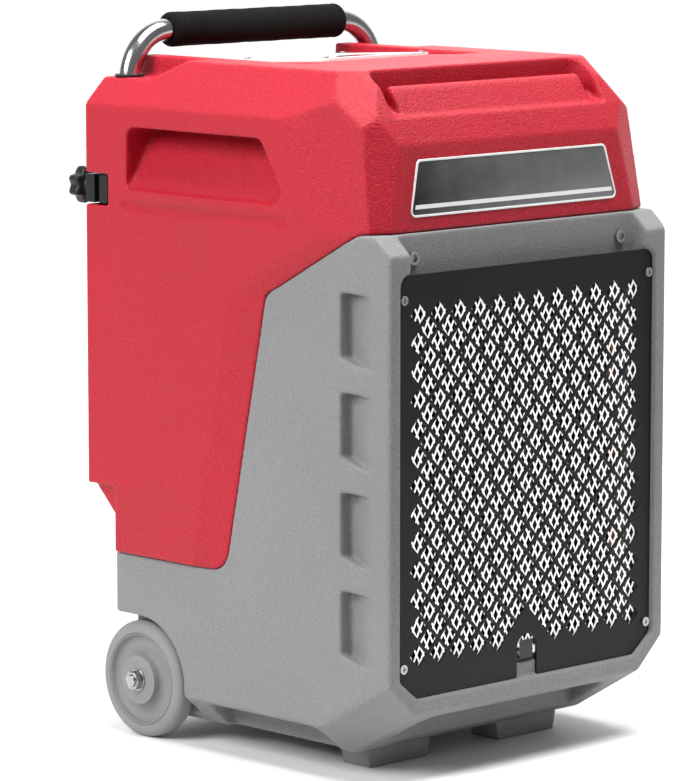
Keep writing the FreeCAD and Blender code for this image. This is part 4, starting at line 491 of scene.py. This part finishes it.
def clip_line(slope, offset, outline):
    """Where the line z = slope * x + offset crosses a convex outline."""
    found = []
    for (x1, z1), (x2, z2) in zip(outline, outline[1:] + outline[:1]):
        above1, above2 = z1 - slope * x1 - offset, z2 - slope * x2 - offset
        if above1 * above2 < 0:
            share = above1 / (above1 - above2)
            found.append((x1 + (x2 - x1) * share, z1 + (z2 - z1) * share))
    return found


def make_nameplate():
    """The blank nameplate: a light raised border and stripe on a dark brushed field, whose broad lighter
    patches are partly the plate's own gradient and partly painted sheen.
    """
    low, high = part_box("nameplate")
    half_low, half_high = high.x, high.x * NAMEPLATE_TAPER
    lean = Matrix.Rotation(-NOSE_LEAN, 3, "X")
    height = (high.z - low.z) / math.cos(NOSE_LEAN) - 0.2 * MM
    back = Vector((0, low.y + 1.2 * MM, low.z))
    corners = [(-half_low, 0, 0), (half_low, 0, 0), (half_high, 0, height), (-half_high, 0, height)]

    def ring(inset, y):
        outline = rounded_outline([(x - math.copysign(inset, x), 0, z + (inset if z == 0 else -inset))
                                   for x, _, z in corners], max(6.0 * MM - inset, 1.0 * MM))
        return [back + lean @ Vector((point.x, y, point.z)) for point in outline]

    border = bmesh.new()
    rings = [ring(0.0, -0.1 * MM), ring(0.0, -0.9 * MM), ring(0.3 * MM, -1.2 * MM), ring(1.9 * MM, -1.2 * MM),
             ring(2.2 * MM, -0.7 * MM)]
    loops_to_faces(border, [[border.verts.new(p) for p in points] for points in rings], capped=False)
    frame_piece = piece("nameplate_border", border, "housing", "panel_plastic")
    stripe = bmesh.new()
    reach = half_low - 7.0 * MM
    bottom, top, slant = 7.5 * MM, 11.5 * MM, 1.0 * MM
    outline = [(-reach, bottom), (reach, bottom), (reach - slant, top), (slant - reach, top)]
    loops_to_faces(stripe, [[stripe.verts.new(back + lean @ Vector((x, y, z))) for x, z in outline]
                            for y in (-0.3 * MM, -1.0 * MM)])
    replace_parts(piece("nameplate_stripe", stripe, "housing", "panel_plastic"), "nameplate")
    field = bmesh.new()
    loops_to_faces(field, [[field.verts.new(p) for p in points]
                           for points in (ring(1.0 * MM, -0.1 * MM), ring(2.15 * MM, -0.7 * MM))])
    plate = piece("nameplate_field", field, "housing", "plate_metal")
    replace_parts(frame_piece, "nameplate")
    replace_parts(plate, "nameplate")


# ---------------------------------------------------------------- soft edges of the CAD parts

MOULDED = {"lower_housing": (1.8, 9), "upper_housing": (1.8, 9), "front_feet": (1.6, 6)}
EDGE_WIDTHS = {
    "clamp_nut_blocks": 1.2, "clamp_jaw_left": 1.2, "clamp_jaw_right": 1.2, "control_plate": 0.6,
    "button_power": 0.6, "button_mode": 0.6, "button_up": 0.6, "button_down": 0.6, "outlet_grille": 0.8,
    "handle_guides": 0.5, "axle_fasteners": 0.5, "grille_screws": 0.25, "housing_screws": 0.4,
    "drain_fitting": 0.5, "cable_gland": 0.5, "wheel_axle": 0.8, "control_screws": 0.2,
}


def mould(thing, grid, passes):
    """Melt a rotomoulded part's edges round, as a hot mould leaves them."""
    remesh = thing.modifiers.new("Even skin", "REMESH")
    remesh.mode = "VOXEL"
    remesh.voxel_size = grid
    remesh.use_smooth_shade = True
    smooth = thing.modifiers.new("Soft edges", "SMOOTH")
    smooth.factor = 0.5
    smooth.iterations = passes


def soften_frame():
    """Round the edges of the CAD parts that show."""
    for name, (grid, passes) in MOULDED.items():
        mould(frame["nodes"][name], grid * MM, passes)
    for name, width in EDGE_WIDTHS.items():
        soften(frame["nodes"][name], width * MM)


# ---------------------------------------------------------------- stage

def lamp(name, place, aim, size, power):
    """A large soft white lamp pointed at a place."""
    light = bpy.data.lights.new(name, "AREA")
    light.shape = "RECTANGLE"
    light.size, light.size_y = size
    light.energy = power
    made = bpy.data.objects.new(name, light)
    made.location = place
    made.rotation_euler = (Vector(aim) - Vector(place)).to_track_quat("-Z", "Y").to_euler()
    bpy.context.scene.collection.objects.link(made)


def towards(tree, place, start, end, low, high):
    """A value that climbs from low to high between two distances along the camera's heading."""
    ahead = tree.nodes.new("ShaderNodeVectorMath")
    ahead.operation = "DOT_PRODUCT"
    ahead.inputs[1].default_value = AHEAD
    tree.links.new(place, ahead.inputs[0])
    span = tree.nodes.new("ShaderNodeMapRange")
    span.interpolation_type = "SMOOTHSTEP"
    for name, value in (("From Min", start), ("From Max", end), ("To Min", low), ("To Max", high)):
        span.inputs[name].default_value = value
    tree.links.new(ahead.outputs["Value"], span.inputs["Value"])
    return span.outputs["Result"]


def make_surroundings():
    """A studio that is white behind the object and dim in front of it."""
    world = bpy.data.worlds.new("surroundings")
    bpy.context.scene.world = world
    world.use_nodes = True
    tree = world.node_tree
    places = tree.nodes.new("ShaderNodeTexCoord")
    background = tree.nodes["Background"]
    background.inputs["Color"].default_value = (1.0, 1.0, 1.0, 1.0)
    tree.links.new(towards(tree, places.outputs["Generated"], 0.35, 0.85, DIM_SIDE, BRIGHT_SIDE),
                   background.inputs["Strength"])


def make_floor():
    """A pale floor that climbs to white well behind the object and dims in front of it."""
    bpy.ops.mesh.primitive_plane_add(size=30.0)
    floor = bpy.context.object
    floor.name = "floor"
    pale = finish("floor_paint", (0.86, 0.86, 0.86), (0.88, 0.88, 0.88), 0.7, grain=60.0, grain_depth=0.0)
    tree = pale.node_tree
    places = tree.nodes.new("ShaderNodeTexCoord")
    place = places.outputs["Object"]
    shader = tree.nodes["Principled BSDF"]
    tree.links.new(towards(tree, place, 0.3, 3.0, 0.0, FLOOR_GLOW), shader.inputs["Emission Strength"])
    paint = shader.inputs["Base Color"].links[0].from_socket
    dimmed = tree.nodes.new("ShaderNodeVectorMath")
    dimmed.operation = "SCALE"
    tree.links.new(paint, dimmed.inputs[0])
    tree.links.new(towards(tree, place, -0.7, -0.28, FLOOR_DIMMED, 1.0), dimmed.inputs["Scale"])
    tree.links.new(dimmed.outputs["Vector"], shader.inputs["Base Color"])
    floor.data.materials.append(pale)


def make_stage():
    """The floor, the surroundings, soft lamps and the camera."""
    make_floor()
    make_surroundings()
    lamp("key", (-2.6, 0.25, 2.0), (0.0, 0.0, 0.42), (1.6, 1.6), 92.0)
    lamp("top", (0.15, -0.55, 2.9), (0.0, 0.0, 0.6), (2.0, 1.6), 125.0)
    camera = bpy.data.cameras.new("camera")
    camera.sensor_fit = "VERTICAL"
    camera.sensor_height = 36.0
    camera.lens = CAMERA_LENS
    made = bpy.data.objects.new("camera", camera)
    made.location = CAMERA_PLACE
    made.rotation_euler = CAMERA_TURN
    bpy.context.scene.collection.objects.link(made)
    bpy.context.scene.camera = made
    bpy.context.scene.view_settings.view_transform = "Standard"


dress_frame()
make_handle()
make_foam_grip()
make_knobs()
make_wheels()
make_filter_screen()
make_nameplate()
soften_frame()
make_stage()
